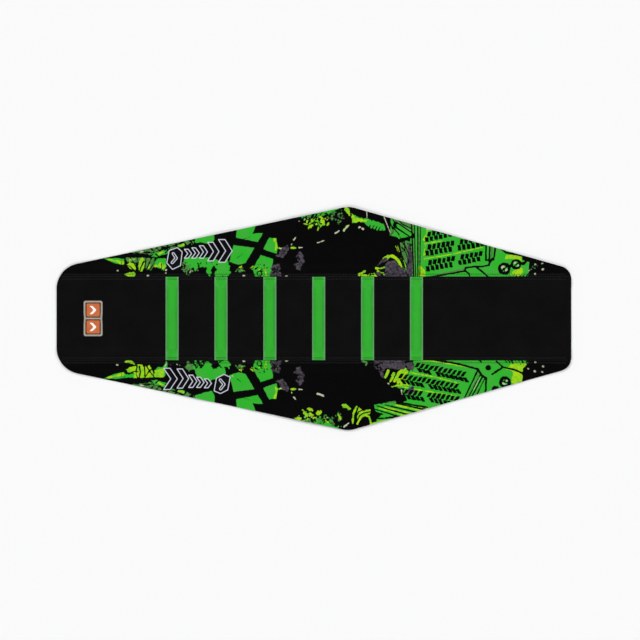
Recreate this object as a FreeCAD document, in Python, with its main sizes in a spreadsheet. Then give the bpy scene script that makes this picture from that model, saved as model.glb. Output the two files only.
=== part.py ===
"""Seat cover for a small motocross bike, laid flat: a ribbed top panel between two printed side panels.

Frame: millimetres, +Z up. X runs along the cover, from the labelled end (-X) to the plain end (+X), and +Y is
the left side. The origin is the middle of the cover's footprint, on the plane that it rests on.
"""

import FreeCAD, Part
import math
import os

import Sketcher

PARTS_FOLDER = "parts"

# The driving dimensions, in millimetres (counts are plain numbers).
DIMENSIONS = {
    # the cut of the whole cover
    "cover_length": 750.0,
    "widest_from_label_end": 426.0,
    "half_width_label_end": 73.5,
    "half_width_widest": 163.5,
    "half_width_plain_end": 72.0,
    "label_end_corner_radius": 38.0,
    "plain_end_corner_radius": 20.0,
    "widest_corner_radius": 37.0,
    # the coated fabric and the two long seams, where each panel's edge is turned under
    "sheet_thickness": 1.0,
    "fold_gap": 0.2,
    "seam_offset": 61.0,
    "seam_half_gap": 0.65,
    "allowance_width": 9.0,
    "step_length": 3.0,
    "topstitch_from_seam": 3.6,
    # the ribs across the top panel
    "rib_count": 6.0,
    "rib_pitch": 71.2,
    "first_rib_from_label_end": 168.4,
    "rib_width": 18.8,
    "rib_flange_width": 2.4,
    "rib_height": 4.6,
    "rib_arch_length": 104.0,
    "rib_core_length": 88.0,
    "rib_core_clearance": 0.1,
    # the threads
    "thread_width": 0.8,
    "thread_rise": 0.36,
    "joining_thread_radius": 0.4,
    "rib_row_from_edge": 1.2,
    "rib_row_from_seam": 5.5,
    # the moulded label
    "label_from_label_end": 53.3,
    "label_across": 27.4,
    "label_along": 51.6,
    "label_corner_radius": 3.0,
    "label_overlap": 2.4,
    "label_thickness": 1.4,
    "label_border": 3.0,
    "label_recess_depth": 0.8,
    "label_tile_gap": 0.4,
    "label_tile_thickness": 0.5,
    "label_tile_radius": 1.6,
    "label_mark_size": 12.0,
    "label_mark_stroke": 4.2,
    "label_mark_rise": 0.4,
    "label_row_from_edge": 1.3,
}

doc = FreeCAD.newDocument("seat_cover")
dims = doc.addObject("Spreadsheet::Sheet", "dims")


def fill_sheet():
    """Writes every driving dimension into the spreadsheet and names its cell."""
    for row, (alias, value) in enumerate(DIMENSIONS.items(), start=1):
        dims.set(f"A{row}", alias)
        dims.set(f"B{row}", str(value))
        dims.setAlias(f"B{row}", alias)
    doc.recompute()


def value_of(expression):
    """The present value of an expression in the spreadsheet's terms."""
    return float(dims.evalExpression(expression))


def bind(thing, **expressions):
    """Binds properties of an object to expressions; a double underscore in a name stands for a dot."""
    for name, expression in expressions.items():
        thing.setExpression(name.replace("__", "."), expression)
    return thing


def place(thing, x="0", y="0", z="0"):
    """Binds an object's position to three expressions."""
    return bind(thing, Placement__Base__x=x, Placement__Base__y=y, Placement__Base__z=z)


def new_body(label):
    """An empty body with that label."""
    body = doc.addObject("PartDesign::Body", label)
    body.Label = label
    return body


def new_sketch(body, plane, name):
    """A sketch attached to one of the body's own origin planes."""
    sketch = body.newObject("Sketcher::SketchObject", name)
    support = next(f for f in body.Origin.OriginFeatures if f.Role == plane)
    sketch.AttachmentSupport = [(support, "")]
    sketch.MapMode = "FlatFace"
    return sketch


def hold(sketch, kind, *where, expression):
    """Adds one dimension to a sketch and binds it to an expression."""
    index = sketch.addConstraint(Sketcher.Constraint(kind, *where, value_of(expression)))
    name = f"held_{index}"
    sketch.renameConstraint(index, name)
    sketch.setExpression(f"Constraints.{name}", expression)


def close_outline(sketch, corners, arcs=None):
    """Draws one closed outline whose corners are pairs of expressions.

    arcs maps the number of an edge, which is then an arc, to (x, y, kind, size): expressions for a point midway
    along it, and the kind and size of the dimension that holds it, which is its Radius, or the DistanceX of its
    centre where it is a half circle. Edge n runs from corner n to the next one.
    """
    arcs = arcs or {}
    points = [FreeCAD.Vector(value_of(x), value_of(y), 0) for x, y in corners]
    ends = []
    for n, start in enumerate(points):
        stop = points[(n + 1) % len(points)]
        if n in arcs:
            x, y, kind, size = arcs[n]
            middle = FreeCAD.Vector(value_of(x), value_of(y), 0)
            edge = sketch.addGeometry(Part.Arc(start, middle, stop), False)
            turns_left = (middle - start).cross(stop - middle).z > 0
            ends.append((edge, 1, 2) if turns_left else (edge, 2, 1))
            where = (edge,) if kind == "Radius" else (-1, 1, edge, 3)
            hold(sketch, kind, *where, expression=size)
        else:
            edge = sketch.addGeometry(Part.LineSegment(start, stop), False)
            ends.append((edge, 1, 2))
    for n, (edge, first, last) in enumerate(ends):
        after = ends[(n + 1) % len(ends)]
        sketch.addConstraint(Sketcher.Constraint("Coincident", edge, last, after[0], after[1]))
        x, y = corners[n]
        hold(sketch, "DistanceX", -1, 1, edge, first, expression=x)
        hold(sketch, "DistanceY", -1, 1, edge, first, expression=y)


def rounded_square(sketch, left, right, low, high, radius):
    """Draws a rectangle with rounded corners; every argument is an expression."""
    bevel = f"({radius}) * {1 - math.sqrt(0.5)}"
    corners = [
        (f"{left} + {radius}", low),
        (f"{right} - {radius}", low),
        (right, f"{low} + {radius}"),
        (right, f"{high} - {radius}"),
        (f"{right} - {radius}", high),
        (f"{left} + {radius}", high),
        (left, f"{high} - {radius}"),
        (left, f"{low} + {radius}"),
    ]
    arcs = {
        1: (f"{right} - {bevel}", f"{low} + {bevel}", "Radius", radius),
        3: (f"{right} - {bevel}", f"{high} - {bevel}", "Radius", radius),
        5: (f"{left} + {bevel}", f"{high} - {bevel}", "Radius", radius),
        7: (f"{left} + {bevel}", f"{low} + {bevel}", "Radius", radius),
    }
    close_outline(sketch, corners, arcs)


def feature(body, kind, sketch, length, midplane=False, reversed_way=False):
    """Adds a Pad or a Pocket of a sketch to its body, with its length bound to an expression."""
    made = body.newObject(f"PartDesign::{kind}", f"{body.Name}_{kind.lower()}")
    made.Profile = sketch
    made.Midplane = midplane
    made.Reversed = reversed_way
    bind(made, Length=length)
    doc.recompute()
    return made


def boolean(kind, label, base, tool):
    """A Part cut, common or fuse of two objects."""
    made = doc.addObject(f"Part::{kind}", label)
    made.Label = label
    made.Base = base
    made.Tool = tool
    return made


def together(label, *members):
    """Several separate solids as one sub-part."""
    made = doc.addObject("Part::Compound", label)
    made.Label = label
    made.Links = list(members)
    return made


def mirrored(label, source):
    """The right-hand twin of a left-hand sub-part."""
    made = doc.addObject("Part::Mirroring", label)
    made.Label = label
    made.Source = source
    made.Normal = FreeCAD.Vector(0, 1, 0)
    return made


def cover_cut():
    """The cut of the whole cover as a tall prism: a long hexagon with rounded corners, which trims each panel."""
    body = new_body("cover_cut")
    label_end = "-dims.cover_length / 2"
    plain_end = "dims.cover_length / 2"
    widest = "dims.widest_from_label_end - dims.cover_length / 2"
    upper = [
        (plain_end, "dims.half_width_plain_end"),
        (widest, "dims.half_width_widest"),
        (label_end, "dims.half_width_label_end"),
    ]
    lower = [(x, f"-{y}") for x, y in reversed(upper)]
    sketch = new_sketch(body, "XY_Plane", "cover_outline")
    close_outline(sketch, upper + lower)
    base = feature(body, "Pad", sketch, "20 * dims.sheet_thickness", midplane=True)
    corners = {
        plain_end: "dims.plain_end_corner_radius",
        widest: "dims.widest_corner_radius",
        label_end: "dims.label_end_corner_radius",
    }
    for at, radius in corners.items():
        upright = [
            f"Edge{n}"
            for n, edge in enumerate(base.Shape.Edges, start=1)
            if abs(edge.tangentAt(edge.FirstParameter).z) > 0.99
            and abs(edge.CenterOfMass.x - value_of(at)) < 1.0
        ]
        rounding = body.newObject("PartDesign::Fillet", "cover_corner")
        rounding.Base = (base, upright)
        bind(rounding, Radius=radius)
        doc.recompute()
        base = rounding
    return body


# Heights above the plane that the cover rests on, and places across the left seam, as expressions.
SHEET = "dims.sheet_thickness"
FOLD_RADIUS = "(dims.sheet_thickness + dims.fold_gap / 2)"
SEAM_HEIGHT = "(2 * dims.sheet_thickness + dims.fold_gap)"
SEAM_STEP = "(dims.sheet_thickness + dims.fold_gap)"
TOP_FOLD = f"(dims.seam_offset - dims.seam_half_gap - {FOLD_RADIUS})"
TOP_STEP_HEAD = f"({TOP_FOLD} - dims.allowance_width)"
TOP_STEP_FOOT = f"({TOP_STEP_HEAD} - dims.step_length)"


def turned_edge(away):
    """The section of a panel's edge turned under at the left seam, from its upper face round to its underside.

    away is "+" for the panel that runs from the seam to the left, or "-" for the one that runs to the right.
    Gives the corners, and the arcs by the number of their edge.
    """
    toward = "-" if away == "+" else "+"
    fold = f"(dims.seam_offset {away} dims.seam_half_gap {away} {FOLD_RADIUS})"
    head = f"({fold} {away} dims.allowance_width)"
    foot = f"({head} {away} dims.step_length)"
    corners = [
        (foot, SHEET),
        (head, SEAM_HEIGHT),
        (fold, SEAM_HEIGHT),
        (fold, "0"),
        (head, "0"),
        (head, SHEET),
        (fold, SHEET),
        (fold, SEAM_STEP),
        (head, SEAM_STEP),
        (foot, "0"),
    ]
    arcs = {
        2: (f"{fold} {toward} {FOLD_RADIUS}", f"{SEAM_HEIGHT} / 2", "DistanceX", fold),
        6: (f"{fold} {toward} dims.fold_gap / 2", f"{SEAM_HEIGHT} / 2", "DistanceX", fold),
    }
    return corners, arcs


def panel_strip(name, corners, arcs):
    """A panel before it is cut to the cover's outline: its section, carried along the whole cover."""
    body = new_body(name)
    sketch = new_sketch(body, "YZ_Plane", f"{name}_section")
    close_outline(sketch, corners, arcs)
    feature(body, "Pad", sketch, "dims.cover_length", midplane=True)
    return body


def top_panel(cut):
    """The black panel between the seams: it lies flat, and rises at each seam over its own turned edge."""
    left, left_arcs = turned_edge("-")
    right = [(f"-{y}", z) for y, z in reversed(left)]
    last = len(left) + len(right) - 2
    right_arcs = {
        last - n: (f"-({y})", z, kind, f"-{centre}") for n, (y, z, kind, centre) in left_arcs.items()
    }
    strip = panel_strip("top_panel_strip", left + right, {**left_arcs, **right_arcs})
    return boolean("Common", "top_panel", strip, cut)


def side_panel(cut):
    """The left printed panel: flat, with its seam edge turned under and its outer edge cut raw."""
    corners, arcs = turned_edge("+")
    outer = [("dims.half_width_widest", "0"), ("dims.half_width_widest", SHEET)]
    strip = panel_strip("side_panel_strip", corners + outer, arcs)
    return boolean("Common", "left_side_panel", strip, cut)


def arch_radius(chord, rise):
    """The radius of an arc from its chord and its rise, all as expressions."""
    return f"((({chord}) / 2) ^ 2 + ({rise}) ^ 2) / (2 * ({rise}))"


RIB_BUMP_WIDTH = "(dims.rib_width - 2 * dims.rib_flange_width)"
RIB_HOLLOW_WIDTH = f"({RIB_BUMP_WIDTH} - 2 * {SHEET})"
RIB_HOLLOW_HEIGHT = f"(dims.rib_height - {SHEET})"


def arch_outline(sketch, chord, low, rise):
    """Draws a flat-bottomed arch that stands on the height low."""
    corners = [(f"-{chord} / 2", low), (f"{chord} / 2", low)]
    arcs = {1: ("0", f"{low} + {rise}", "Radius", arch_radius(chord, rise))}
    close_outline(sketch, corners, arcs)


def rib_position(number):
    """The place of a rib along X, as an expression."""
    return f"dims.first_rib_from_label_end - dims.cover_length / 2 + {number - 1} * dims.rib_pitch"


def over_the_panel(sketch, half_length, low, thickness):
    """Draws the side view of something thin that follows the top panel's upper face, seam step to seam step."""
    climb = [
        (half_length, SEAM_STEP),
        (TOP_STEP_HEAD, SEAM_STEP),
        (TOP_STEP_FOOT, "0"),
    ]
    across = climb + [(f"-{y}", z) for y, z in reversed(climb)]
    under = [(y, f"{low} + {z}") for y, z in across]
    upper = [(y, f"{low} + {thickness} + {z}") for y, z in reversed(across)]
    close_outline(sketch, under + upper)


def rib_cover(number):
    """One green strip: flat flanges and end tabs, and a raised middle over the core with sloping ends."""
    body = new_body(f"rib_cover_{number}")
    side = new_sketch(body, "YZ_Plane", "rib_side")
    over_the_panel(side, TOP_FOLD, "0", SHEET)
    feature(body, "Pad", side, "dims.rib_width", midplane=True)
    arch = new_sketch(body, "XZ_Plane", "rib_arch")
    arch_outline(arch, RIB_BUMP_WIDTH, SHEET, RIB_HOLLOW_HEIGHT)
    feature(body, "Pad", arch, "dims.rib_arch_length", midplane=True)
    for sign in ("", "-"):
        wedge = new_sketch(body, "YZ_Plane", "rib_end_slope")
        outer, inner = f"{sign}dims.rib_arch_length / 2", f"{sign}dims.rib_core_length / 2"
        close_outline(
            wedge,
            [
                (outer, f"{SEAM_STEP} + {SHEET}"),
                (outer, "2 * dims.rib_height"),
                (inner, "2 * dims.rib_height"),
                (inner, "dims.rib_height"),
            ],
        )
        feature(body, "Pocket", wedge, "dims.rib_width", midplane=True)
    panel = new_sketch(body, "YZ_Plane", "rib_underside")
    over_the_panel(panel, TOP_FOLD, f"-{SHEET}", SHEET)
    feature(body, "Pocket", panel, "dims.rib_width", midplane=True)
    hollow = new_sketch(body, "XZ_Plane", "rib_hollow")
    arch_outline(hollow, RIB_HOLLOW_WIDTH, "0", RIB_HOLLOW_HEIGHT)
    feature(body, "Pocket", hollow, "dims.rib_core_length", midplane=True)
    return place(body, x=rib_position(number), z=SHEET)


def rib_core(number):
    """The foam strip that fills one rib."""
    body = new_body(f"rib_core_{number}")
    sketch = new_sketch(body, "XZ_Plane", "core_section")
    width = f"({RIB_HOLLOW_WIDTH} - 2 * dims.rib_core_clearance)"
    arch_outline(sketch, width, "0", f"({RIB_HOLLOW_HEIGHT} - dims.rib_core_clearance)")
    feature(body, "Pad", sketch, "dims.rib_core_length - 2 * dims.rib_core_clearance", midplane=True)
    return place(body, x=rib_position(number), z=SHEET)


def thread_row(name, plane, length, x="0", y="0", z="0"):
    """A straight row of stitches as one half-round rod. It runs along Y if plane is XZ_Plane, or X if YZ_Plane."""
    body = new_body(name)
    sketch = new_sketch(body, plane, "thread_section")
    arch_outline(sketch, "dims.thread_width", "0", "dims.thread_rise")
    feature(body, "Pad", sketch, length, midplane=True)
    return place(body, x, y, z)


def rib_stitching(number):
    """The two rows that hold one rib's flanges down, each of which follows the rib over the seam steps."""
    offset = "(dims.rib_width / 2 - dims.rib_row_from_edge)"
    rows = []
    for side, sign in (("back", "-"), ("front", "+")):
        row = new_body(f"rib_row_{number}_{side}")
        sketch = new_sketch(row, "YZ_Plane", "row_side")
        over_the_panel(sketch, "(dims.seam_offset - dims.rib_row_from_seam)", SHEET, "dims.thread_rise")
        feature(row, "Pad", sketch, "dims.thread_width", midplane=True)
        rows.append(place(row, x=f"{rib_position(number)} {sign} {offset}", z=SHEET))
    return together(f"rib_stitching_{number}", *rows)


def outer_topstitch(cut):
    """The row along the left seam that holds down the side panel's turned edge."""
    row = thread_row(
        "outer_row",
        "YZ_Plane",
        "dims.cover_length",
        y="dims.seam_offset + dims.topstitch_from_seam",
        z=SEAM_HEIGHT,
    )
    return boolean("Common", "left_outer_topstitch", row, cut)


def inner_topstitch(cut, ribs):
    """The row along the left seam on the top panel: on the panel between the ribs, and on each rib's end tab."""
    y = "dims.seam_offset - dims.topstitch_from_seam"
    low = thread_row("inner_row", "YZ_Plane", "dims.cover_length", y=y, z=SEAM_HEIGHT)
    trimmed = boolean("Common", "inner_row_trimmed", low, cut)
    between = boolean("Cut", "inner_row_between_ribs", trimmed, together("all_rib_covers", *ribs))
    over = [
        thread_row(
            f"tab_row_{n}",
            "YZ_Plane",
            "dims.rib_width",
            x=rib_position(n),
            y=y,
            z=f"{SEAM_HEIGHT} + {SHEET}",
        )
        for n in range(1, len(ribs) + 1)
    ]
    return together("left_inner_topstitch", between, *over)


def joining_thread(cut):
    """The thread that sews the top panel and the left side panel edge to edge; the seam folds about it."""
    rod = doc.addObject("Part::Cylinder", "joining_rod")
    rod.Placement.Rotation = FreeCAD.Rotation(FreeCAD.Vector(0, 1, 0), 90)
    bind(rod, Radius="dims.joining_thread_radius", Height="dims.cover_length")
    place(rod, "-dims.cover_length / 2", "dims.seam_offset", f"{SEAM_HEIGHT} / 2")
    return boolean("Common", "left_joining_thread", rod, cut)


LABEL_X = "dims.label_from_label_end - dims.cover_length / 2"
TILE_CENTRE = "((dims.label_along + dims.label_overlap) / 4 - dims.label_overlap / 2)"
RECESS_HALF = "(dims.label_across / 2 - dims.label_border)"


def label_backing():
    """The grey moulded base: two joined rounded squares, each with a square recess."""
    body = new_body("label_backing")
    half = "dims.label_across / 2"
    for low, high in (
        ("-dims.label_overlap / 2", "dims.label_along / 2"),
        ("-dims.label_along / 2", "dims.label_overlap / 2"),
    ):
        sketch = new_sketch(body, "XY_Plane", "label_square")
        rounded_square(sketch, f"-{half}", half, low, high, "dims.label_corner_radius")
        feature(body, "Pad", sketch, "dims.label_thickness")
    for side in ("", "-"):
        sketch = new_sketch(body, "XY_Plane", "label_recess")
        bind(sketch, AttachmentOffset__Base__z="dims.label_thickness")
        middle = f"{side}{TILE_CENTRE}"
        rounded_square(
            sketch,
            f"-{RECESS_HALF}",
            RECESS_HALF,
            f"{middle} - {RECESS_HALF}",
            f"{middle} + {RECESS_HALF}",
            "(dims.label_tile_radius + dims.label_tile_gap)",
        )
        feature(body, "Pocket", sketch, "dims.label_recess_depth")
    return place(body, x=LABEL_X, z=SHEET)


def label_tile(label, side):
    """One coloured field, which lies in its recess with a narrow gap all round."""
    body = new_body(label)
    half = f"({RECESS_HALF} - dims.label_tile_gap)"
    sketch = new_sketch(body, "XY_Plane", "tile_outline")
    rounded_square(sketch, f"-{half}", half, f"-{half}", half, "dims.label_tile_radius")
    feature(body, "Pad", sketch, "dims.label_tile_thickness")
    floor = f"{SHEET} + dims.label_thickness - dims.label_recess_depth"
    return place(body, x=LABEL_X, y=f"{side}{TILE_CENTRE}", z=floor)


def label_mark(label, side):
    """One raised arrowhead on a tile, pointing to the cover's plain end."""
    body = new_body(label)
    size, stroke = "dims.label_mark_size", "dims.label_mark_stroke"
    back = f"-({size} / 2 + {stroke}) / 2"
    corners = [
        (back, f"-{size} / 2"),
        (f"{back} + {stroke}", f"-{size} / 2"),
        (f"{back} + {stroke} + {size} / 2", "0"),
        (f"{back} + {stroke}", f"{size} / 2"),
        (back, f"{size} / 2"),
        (f"{back} + {size} / 2", "0"),
    ]
    sketch = new_sketch(body, "XY_Plane", "mark_outline")
    close_outline(sketch, corners)
    feature(body, "Pad", sketch, "dims.label_mark_rise")
    top = f"{SHEET} + dims.label_thickness - dims.label_recess_depth + dims.label_tile_thickness"
    return place(body, x=LABEL_X, y=f"{side}{TILE_CENTRE}", z=top)


def label_stitching():
    """The four rows that sew the label down, one along each side of its border."""
    half_across = "(dims.label_across / 2 - dims.label_row_from_edge)"
    half_along = "(dims.label_along / 2 - dims.label_row_from_edge)"
    top = f"{SHEET} + dims.label_thickness"
    rows = [
        thread_row(
            f"label_row_{name}",
            plane,
            f"2 * {reach} - 2 * dims.label_corner_radius",
            x=f"{LABEL_X} + {x}",
            y=y,
            z=top,
        )
        for name, plane, reach, x, y in (
            ("back", "XZ_Plane", half_along, f"-{half_across}", "0"),
            ("front", "XZ_Plane", half_along, half_across, "0"),
            ("left", "YZ_Plane", half_across, "0", half_along),
            ("right", "YZ_Plane", half_across, "0", f"-{half_along}"),
        )
    ]
    return together("label_stitching", *rows)


def build():
    """Makes every sub-part and returns them all."""
    cut = cover_cut()
    numbers = range(1, int(DIMENSIONS["rib_count"]) + 1)
    covers = [rib_cover(n) for n in numbers]
    left = [side_panel(cut), outer_topstitch(cut), inner_topstitch(cut, covers), joining_thread(cut)]
    right = [mirrored(part.Label.replace("left_", "right_"), part) for part in left]
    ribs = covers + [rib_core(n) for n in numbers] + [rib_stitching(n) for n in numbers]
    label = [
        label_backing(),
        label_tile("label_tile_left", ""),
        label_tile("label_tile_right", "-"),
        label_mark("label_mark_left", ""),
        label_mark("label_mark_right", "-"),
        label_stitching(),
    ]
    return [top_panel(cut), *left, *right, *ribs, *label]


def write(sub_parts):
    """Checks every object, then writes each sub-part to its own STEP file."""
    doc.recompute()
    failed = [o.Label for o in doc.Objects if {"Invalid", "Error"} & set(o.State)]
    if failed:
        raise RuntimeError(f"these objects failed: {failed}")
    os.makedirs(PARTS_FOLDER, exist_ok=True)
    for part in sub_parts:
        shape = part.Shape
        if shape.isNull() or not shape.isValid() or not shape.Solids:
            raise RuntimeError(f"{part.Label} has no valid solid")
        shape.exportStep(os.path.join(PARTS_FOLDER, f"{part.Label}.step"))
        print(f"{part.Label}: {len(shape.Solids)} solid(s), {shape.Volume / 1000:.3f} cm3")


fill_sheet()
write(build())
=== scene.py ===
"""Seat cover for a small motocross bike, laid flat: ribbed grip-vinyl top, printed sides, moulded label.

Metres, +Z up. X runs along the cover from its labelled end (-X) to its plain end (+X); +Y is its left side.
Shapes are worked out in millimetres and scaled once, when a mesh is made.
"""

import logging
import math
from dataclasses import dataclass, field
from enum import Enum
from typing import Iterable, Sequence

import bpy
import numpy as np
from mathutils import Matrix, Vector
from mathutils.geometry import delaunay_2d_cdt


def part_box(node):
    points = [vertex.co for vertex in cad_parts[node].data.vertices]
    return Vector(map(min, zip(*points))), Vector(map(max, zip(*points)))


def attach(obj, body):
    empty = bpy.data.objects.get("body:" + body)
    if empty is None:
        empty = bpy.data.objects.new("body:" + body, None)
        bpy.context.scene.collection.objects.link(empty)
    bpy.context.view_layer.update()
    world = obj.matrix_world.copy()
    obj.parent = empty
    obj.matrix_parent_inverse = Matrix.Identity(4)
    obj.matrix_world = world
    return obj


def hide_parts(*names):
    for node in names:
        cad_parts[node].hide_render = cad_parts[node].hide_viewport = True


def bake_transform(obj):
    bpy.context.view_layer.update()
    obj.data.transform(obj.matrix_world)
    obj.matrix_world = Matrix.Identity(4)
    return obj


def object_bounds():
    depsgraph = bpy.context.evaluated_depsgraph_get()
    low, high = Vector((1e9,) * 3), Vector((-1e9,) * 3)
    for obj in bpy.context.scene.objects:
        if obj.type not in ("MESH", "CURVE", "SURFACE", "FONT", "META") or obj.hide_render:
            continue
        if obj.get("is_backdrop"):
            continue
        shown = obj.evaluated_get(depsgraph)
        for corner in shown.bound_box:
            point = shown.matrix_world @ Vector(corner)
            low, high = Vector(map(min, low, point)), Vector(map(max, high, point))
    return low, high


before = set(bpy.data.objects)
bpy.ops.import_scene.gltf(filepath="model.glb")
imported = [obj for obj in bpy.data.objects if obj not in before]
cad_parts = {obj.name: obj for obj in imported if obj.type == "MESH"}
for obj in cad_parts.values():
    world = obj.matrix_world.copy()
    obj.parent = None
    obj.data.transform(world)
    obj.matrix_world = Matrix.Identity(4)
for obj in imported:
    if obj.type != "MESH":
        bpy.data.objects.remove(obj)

LOG = logging.getLogger("seat_cover")
CAD_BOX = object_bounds()
MM = 0.001

Array = np.ndarray
Point = tuple[float, float]
Piece = bpy.types.Object
Tree = bpy.types.NodeTree
Node = bpy.types.Node
Socket = bpy.types.NodeSocket


# --- small helpers ---


def linear(colour: str) -> tuple[float, float, float, float]:
    """Turns an sRGB hex colour into linear RGBA.

    Args:
        colour: six hex digits after a hash sign.

    Returns:
        The linear red, green and blue, and an alpha of 1.
    """
    parts = [int(colour[n : n + 2], 16) / 255 for n in (1, 3, 5)]
    red, green, blue = (p / 12.92 if p <= 0.04045 else ((p + 0.055) / 1.055) ** 2.4 for p in parts)
    return red, green, blue, 1.0


def middle(node: str) -> tuple[float, float, float]:
    """Finds the middle of a modelled node's box.

    Args:
        node: the modelled node.

    Returns:
        Its x, y and z in millimetres, to a hundredth.
    """
    low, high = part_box(node)
    x, y, z = (round(float(a + b) / 2.0 / MM, 2) for a, b in zip(low, high))
    return x, y, z


def sides_of(corners: Sequence[Point]) -> Iterable[tuple[Point, Point]]:
    """Pairs each corner of a closed outline with the next one."""
    return zip(corners, [*corners[1:], corners[0]])


def ease(start: float, stop: float, value: Array) -> Array:
    """Rises smoothly from 0 where value is start to 1 where it is stop.

    Args:
        start: where the rise begins.
        stop: where it ends.
        value: what is measured.

    Returns:
        The share risen, from 0 to 1.
    """
    share = np.clip((value - start) / (stop - start), 0.0, 1.0)
    return share * share * (3.0 - 2.0 * share)


def make_object(name: str, points: Array, faces: Iterable[Array], crease: float = 50.0) -> Piece:
    """Makes a mesh object from points in millimetres.

    Args:
        name: the piece's name.
        points: one row of x, y and z for each point.
        faces: arrays of point numbers, one row for each face; every array holds one kind of face.
        crease: the angle in degrees above which an edge stays sharp.

    Returns:
        The object, linked to the scene.
    """
    kinds = [np.asarray(f, dtype=np.int32) for f in faces if len(f)]
    corners = np.concatenate([f.ravel() for f in kinds])
    sides = np.concatenate([np.full(len(f), f.shape[1], dtype=np.int32) for f in kinds])
    mesh = bpy.data.meshes.new(name)
    mesh.vertices.add(len(points))
    mesh.vertices.foreach_set("co", np.asarray(points * MM, dtype=np.float32).ravel())
    mesh.loops.add(len(corners))
    mesh.loops.foreach_set("vertex_index", corners)
    mesh.polygons.add(len(sides))
    mesh.polygons.foreach_set("loop_start", np.concatenate([[0], np.cumsum(sides)[:-1]]).astype(np.int32))
    mesh.update(calc_edges=True)
    mesh.validate()
    mesh.shade_smooth()
    mesh.set_sharp_from_angle(angle=math.radians(crease))
    made = bpy.data.objects.new(name, mesh)
    bpy.context.scene.collection.objects.link(made)
    return made


def write_attribute(made: Piece, name: str, values: Array) -> None:
    """Stores one number for each point of a mesh, for its material to read.

    Args:
        made: the mesh object.
        name: the attribute's name.
        values: one value for each point.
    """
    layer = made.data.attributes.new(name, "FLOAT", "POINT")
    layer.data.foreach_set("value", np.asarray(values, dtype=np.float32))


@dataclass(frozen=True)
class Swell:
    """The slow rise and fall of a soft sheet: a sum of a few sine waves with seeded directions."""

    length: float
    height: float
    seed: int
    waves: int = 6

    def at(self, x: Array, y: Array) -> Array:
        """Works out the swell.

        Args:
            x: positions along the cover, in millimetres.
            y: positions across it.

        Returns:
            The height there, about -height to +height.
        """
        random = np.random.default_rng(self.seed)
        total = np.zeros(np.broadcast(x, y).shape)
        for _ in range(self.waves):
            angle = random.uniform(0.0, math.pi)
            length = self.length * random.uniform(0.7, 1.5)
            turn = random.uniform(0.0, 2.0 * math.pi)
            total += np.sin(2.0 * math.pi * (x * math.cos(angle) + y * math.sin(angle)) / length + turn)
        return self.height * total / math.sqrt(self.waves)


@dataclass(frozen=True)
class Rag:
    """Cloudy noise on a seeded lattice, which makes an ink's edge ragged."""

    cell: float
    seed: int

    def at(self, x: Array, y: Array) -> Array:
        """Works out the noise.

        Args:
            x: positions in millimetres along the cover.
            y: positions across it.

        Returns:
            Values from -1 to 1.
        """
        lattice = np.random.default_rng(self.seed).uniform(-1.0, 1.0, (256, 256))
        column, row = x / self.cell + 128.0, y / self.cell + 128.0
        left, low = np.floor(column).astype(int), np.floor(row).astype(int)
        across, up = ease(0.0, 1.0, column - left), ease(0.0, 1.0, row - low)
        near, far = left % 256, (left + 1) % 256
        below, above = low % 256, (low + 1) % 256
        bottom = lattice[below, near] * (1.0 - across) + lattice[below, far] * across
        top = lattice[above, near] * (1.0 - across) + lattice[above, far] * across
        return bottom * (1.0 - up) + top * up


# --- finishes ---


def add_node(
    tree: Tree, kind: str, inputs: dict[str | int, object] | Sequence[object] = (), out: str | int = 0,
    **settings: object
) -> Socket:
    """Adds one node with its settings and what its inputs hold.

    Args:
        tree: the material's or the world's node tree.
        kind: the node's type, without the ShaderNode that it starts with.
        inputs: what its inputs hold, each a socket or a constant, in order or by name or number.
        out: the name or number of the output that is wanted.
        **settings: properties of the node itself.

    Returns:
        The output.
    """
    node = tree.nodes.new(f"ShaderNode{kind}")
    for name, value in settings.items():
        setattr(node, name, value)
    for name, value in inputs.items() if isinstance(inputs, dict) else enumerate(inputs):
        if isinstance(value, Socket):
            tree.links.new(value, node.inputs[name])
        else:
            node.inputs[name].default_value = value
    return node.outputs[out]


@dataclass(frozen=True)
class Finish:
    """What a piece is made of and how its surface was made; each kind dresses its own material."""

    name: str
    slot: str
    colour: str
    roughness: float
    ior: float = 1.5
    specular: float = 0.5

    def material(self) -> bpy.types.Material:
        """Gives the finish's material, and makes it the first time.

        Returns:
            The material, one for each name.
        """
        made = bpy.data.materials.get(self.name)
        if made is None:
            made = bpy.data.materials.new(self.name)
            made.use_nodes = True
            shader = made.node_tree.nodes["Principled BSDF"]
            shader.inputs["Base Color"].default_value = linear(self.colour)
            shader.inputs["Roughness"].default_value = self.roughness
            shader.inputs["IOR"].default_value = self.ior
            shader.inputs["Specular IOR Level"].default_value = self.specular
            self.dress(made.node_tree, shader)
        return made

    def dress(self, tree: Tree, shader: Node) -> None:
        """Adds the finish's pattern to its material; the plain kind has none."""

    def place(self, tree: Tree) -> Socket:
        """Gives the coordinates in metres that every pattern is drawn in."""
        return add_node(tree, "TexCoord", out="Object")

    def emboss(self, tree: Tree, shader: Node, height: Socket, depth_mm: float) -> None:
        """Raises a pattern, from 0 to 1, on the surface by that many millimetres."""
        bump = add_node(tree, "Bump", {"Distance": depth_mm * MM, "Height": height})
        tree.links.new(bump, shader.inputs["Normal"])

    def mottle(self, tree: Tree, base: object, other: str, size_mm: float, share: float) -> Socket:
        """Clouds a colour with a second one.

        Args:
            tree: the material's nodes.
            base: the colour's socket, or its linear value.
            other: the second colour, in hex.
            size_mm: the clouds' size in millimetres.
            share: the most of the second colour that shows, from 0 to 1.

        Returns:
            The clouded colour.
        """
        scale = 1.0 / (size_mm * MM)
        clouds = add_node(tree, "TexNoise", {"Vector": self.place(tree), "Scale": scale, "Detail": 5.0})
        amount = add_node(tree, "MapRange", (clouds, 0.35, 0.7, 0.0, share))
        return add_node(tree, "Mix", {0: amount, 6: base, 7: linear(other)}, 2, data_type="RGBA")


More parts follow.
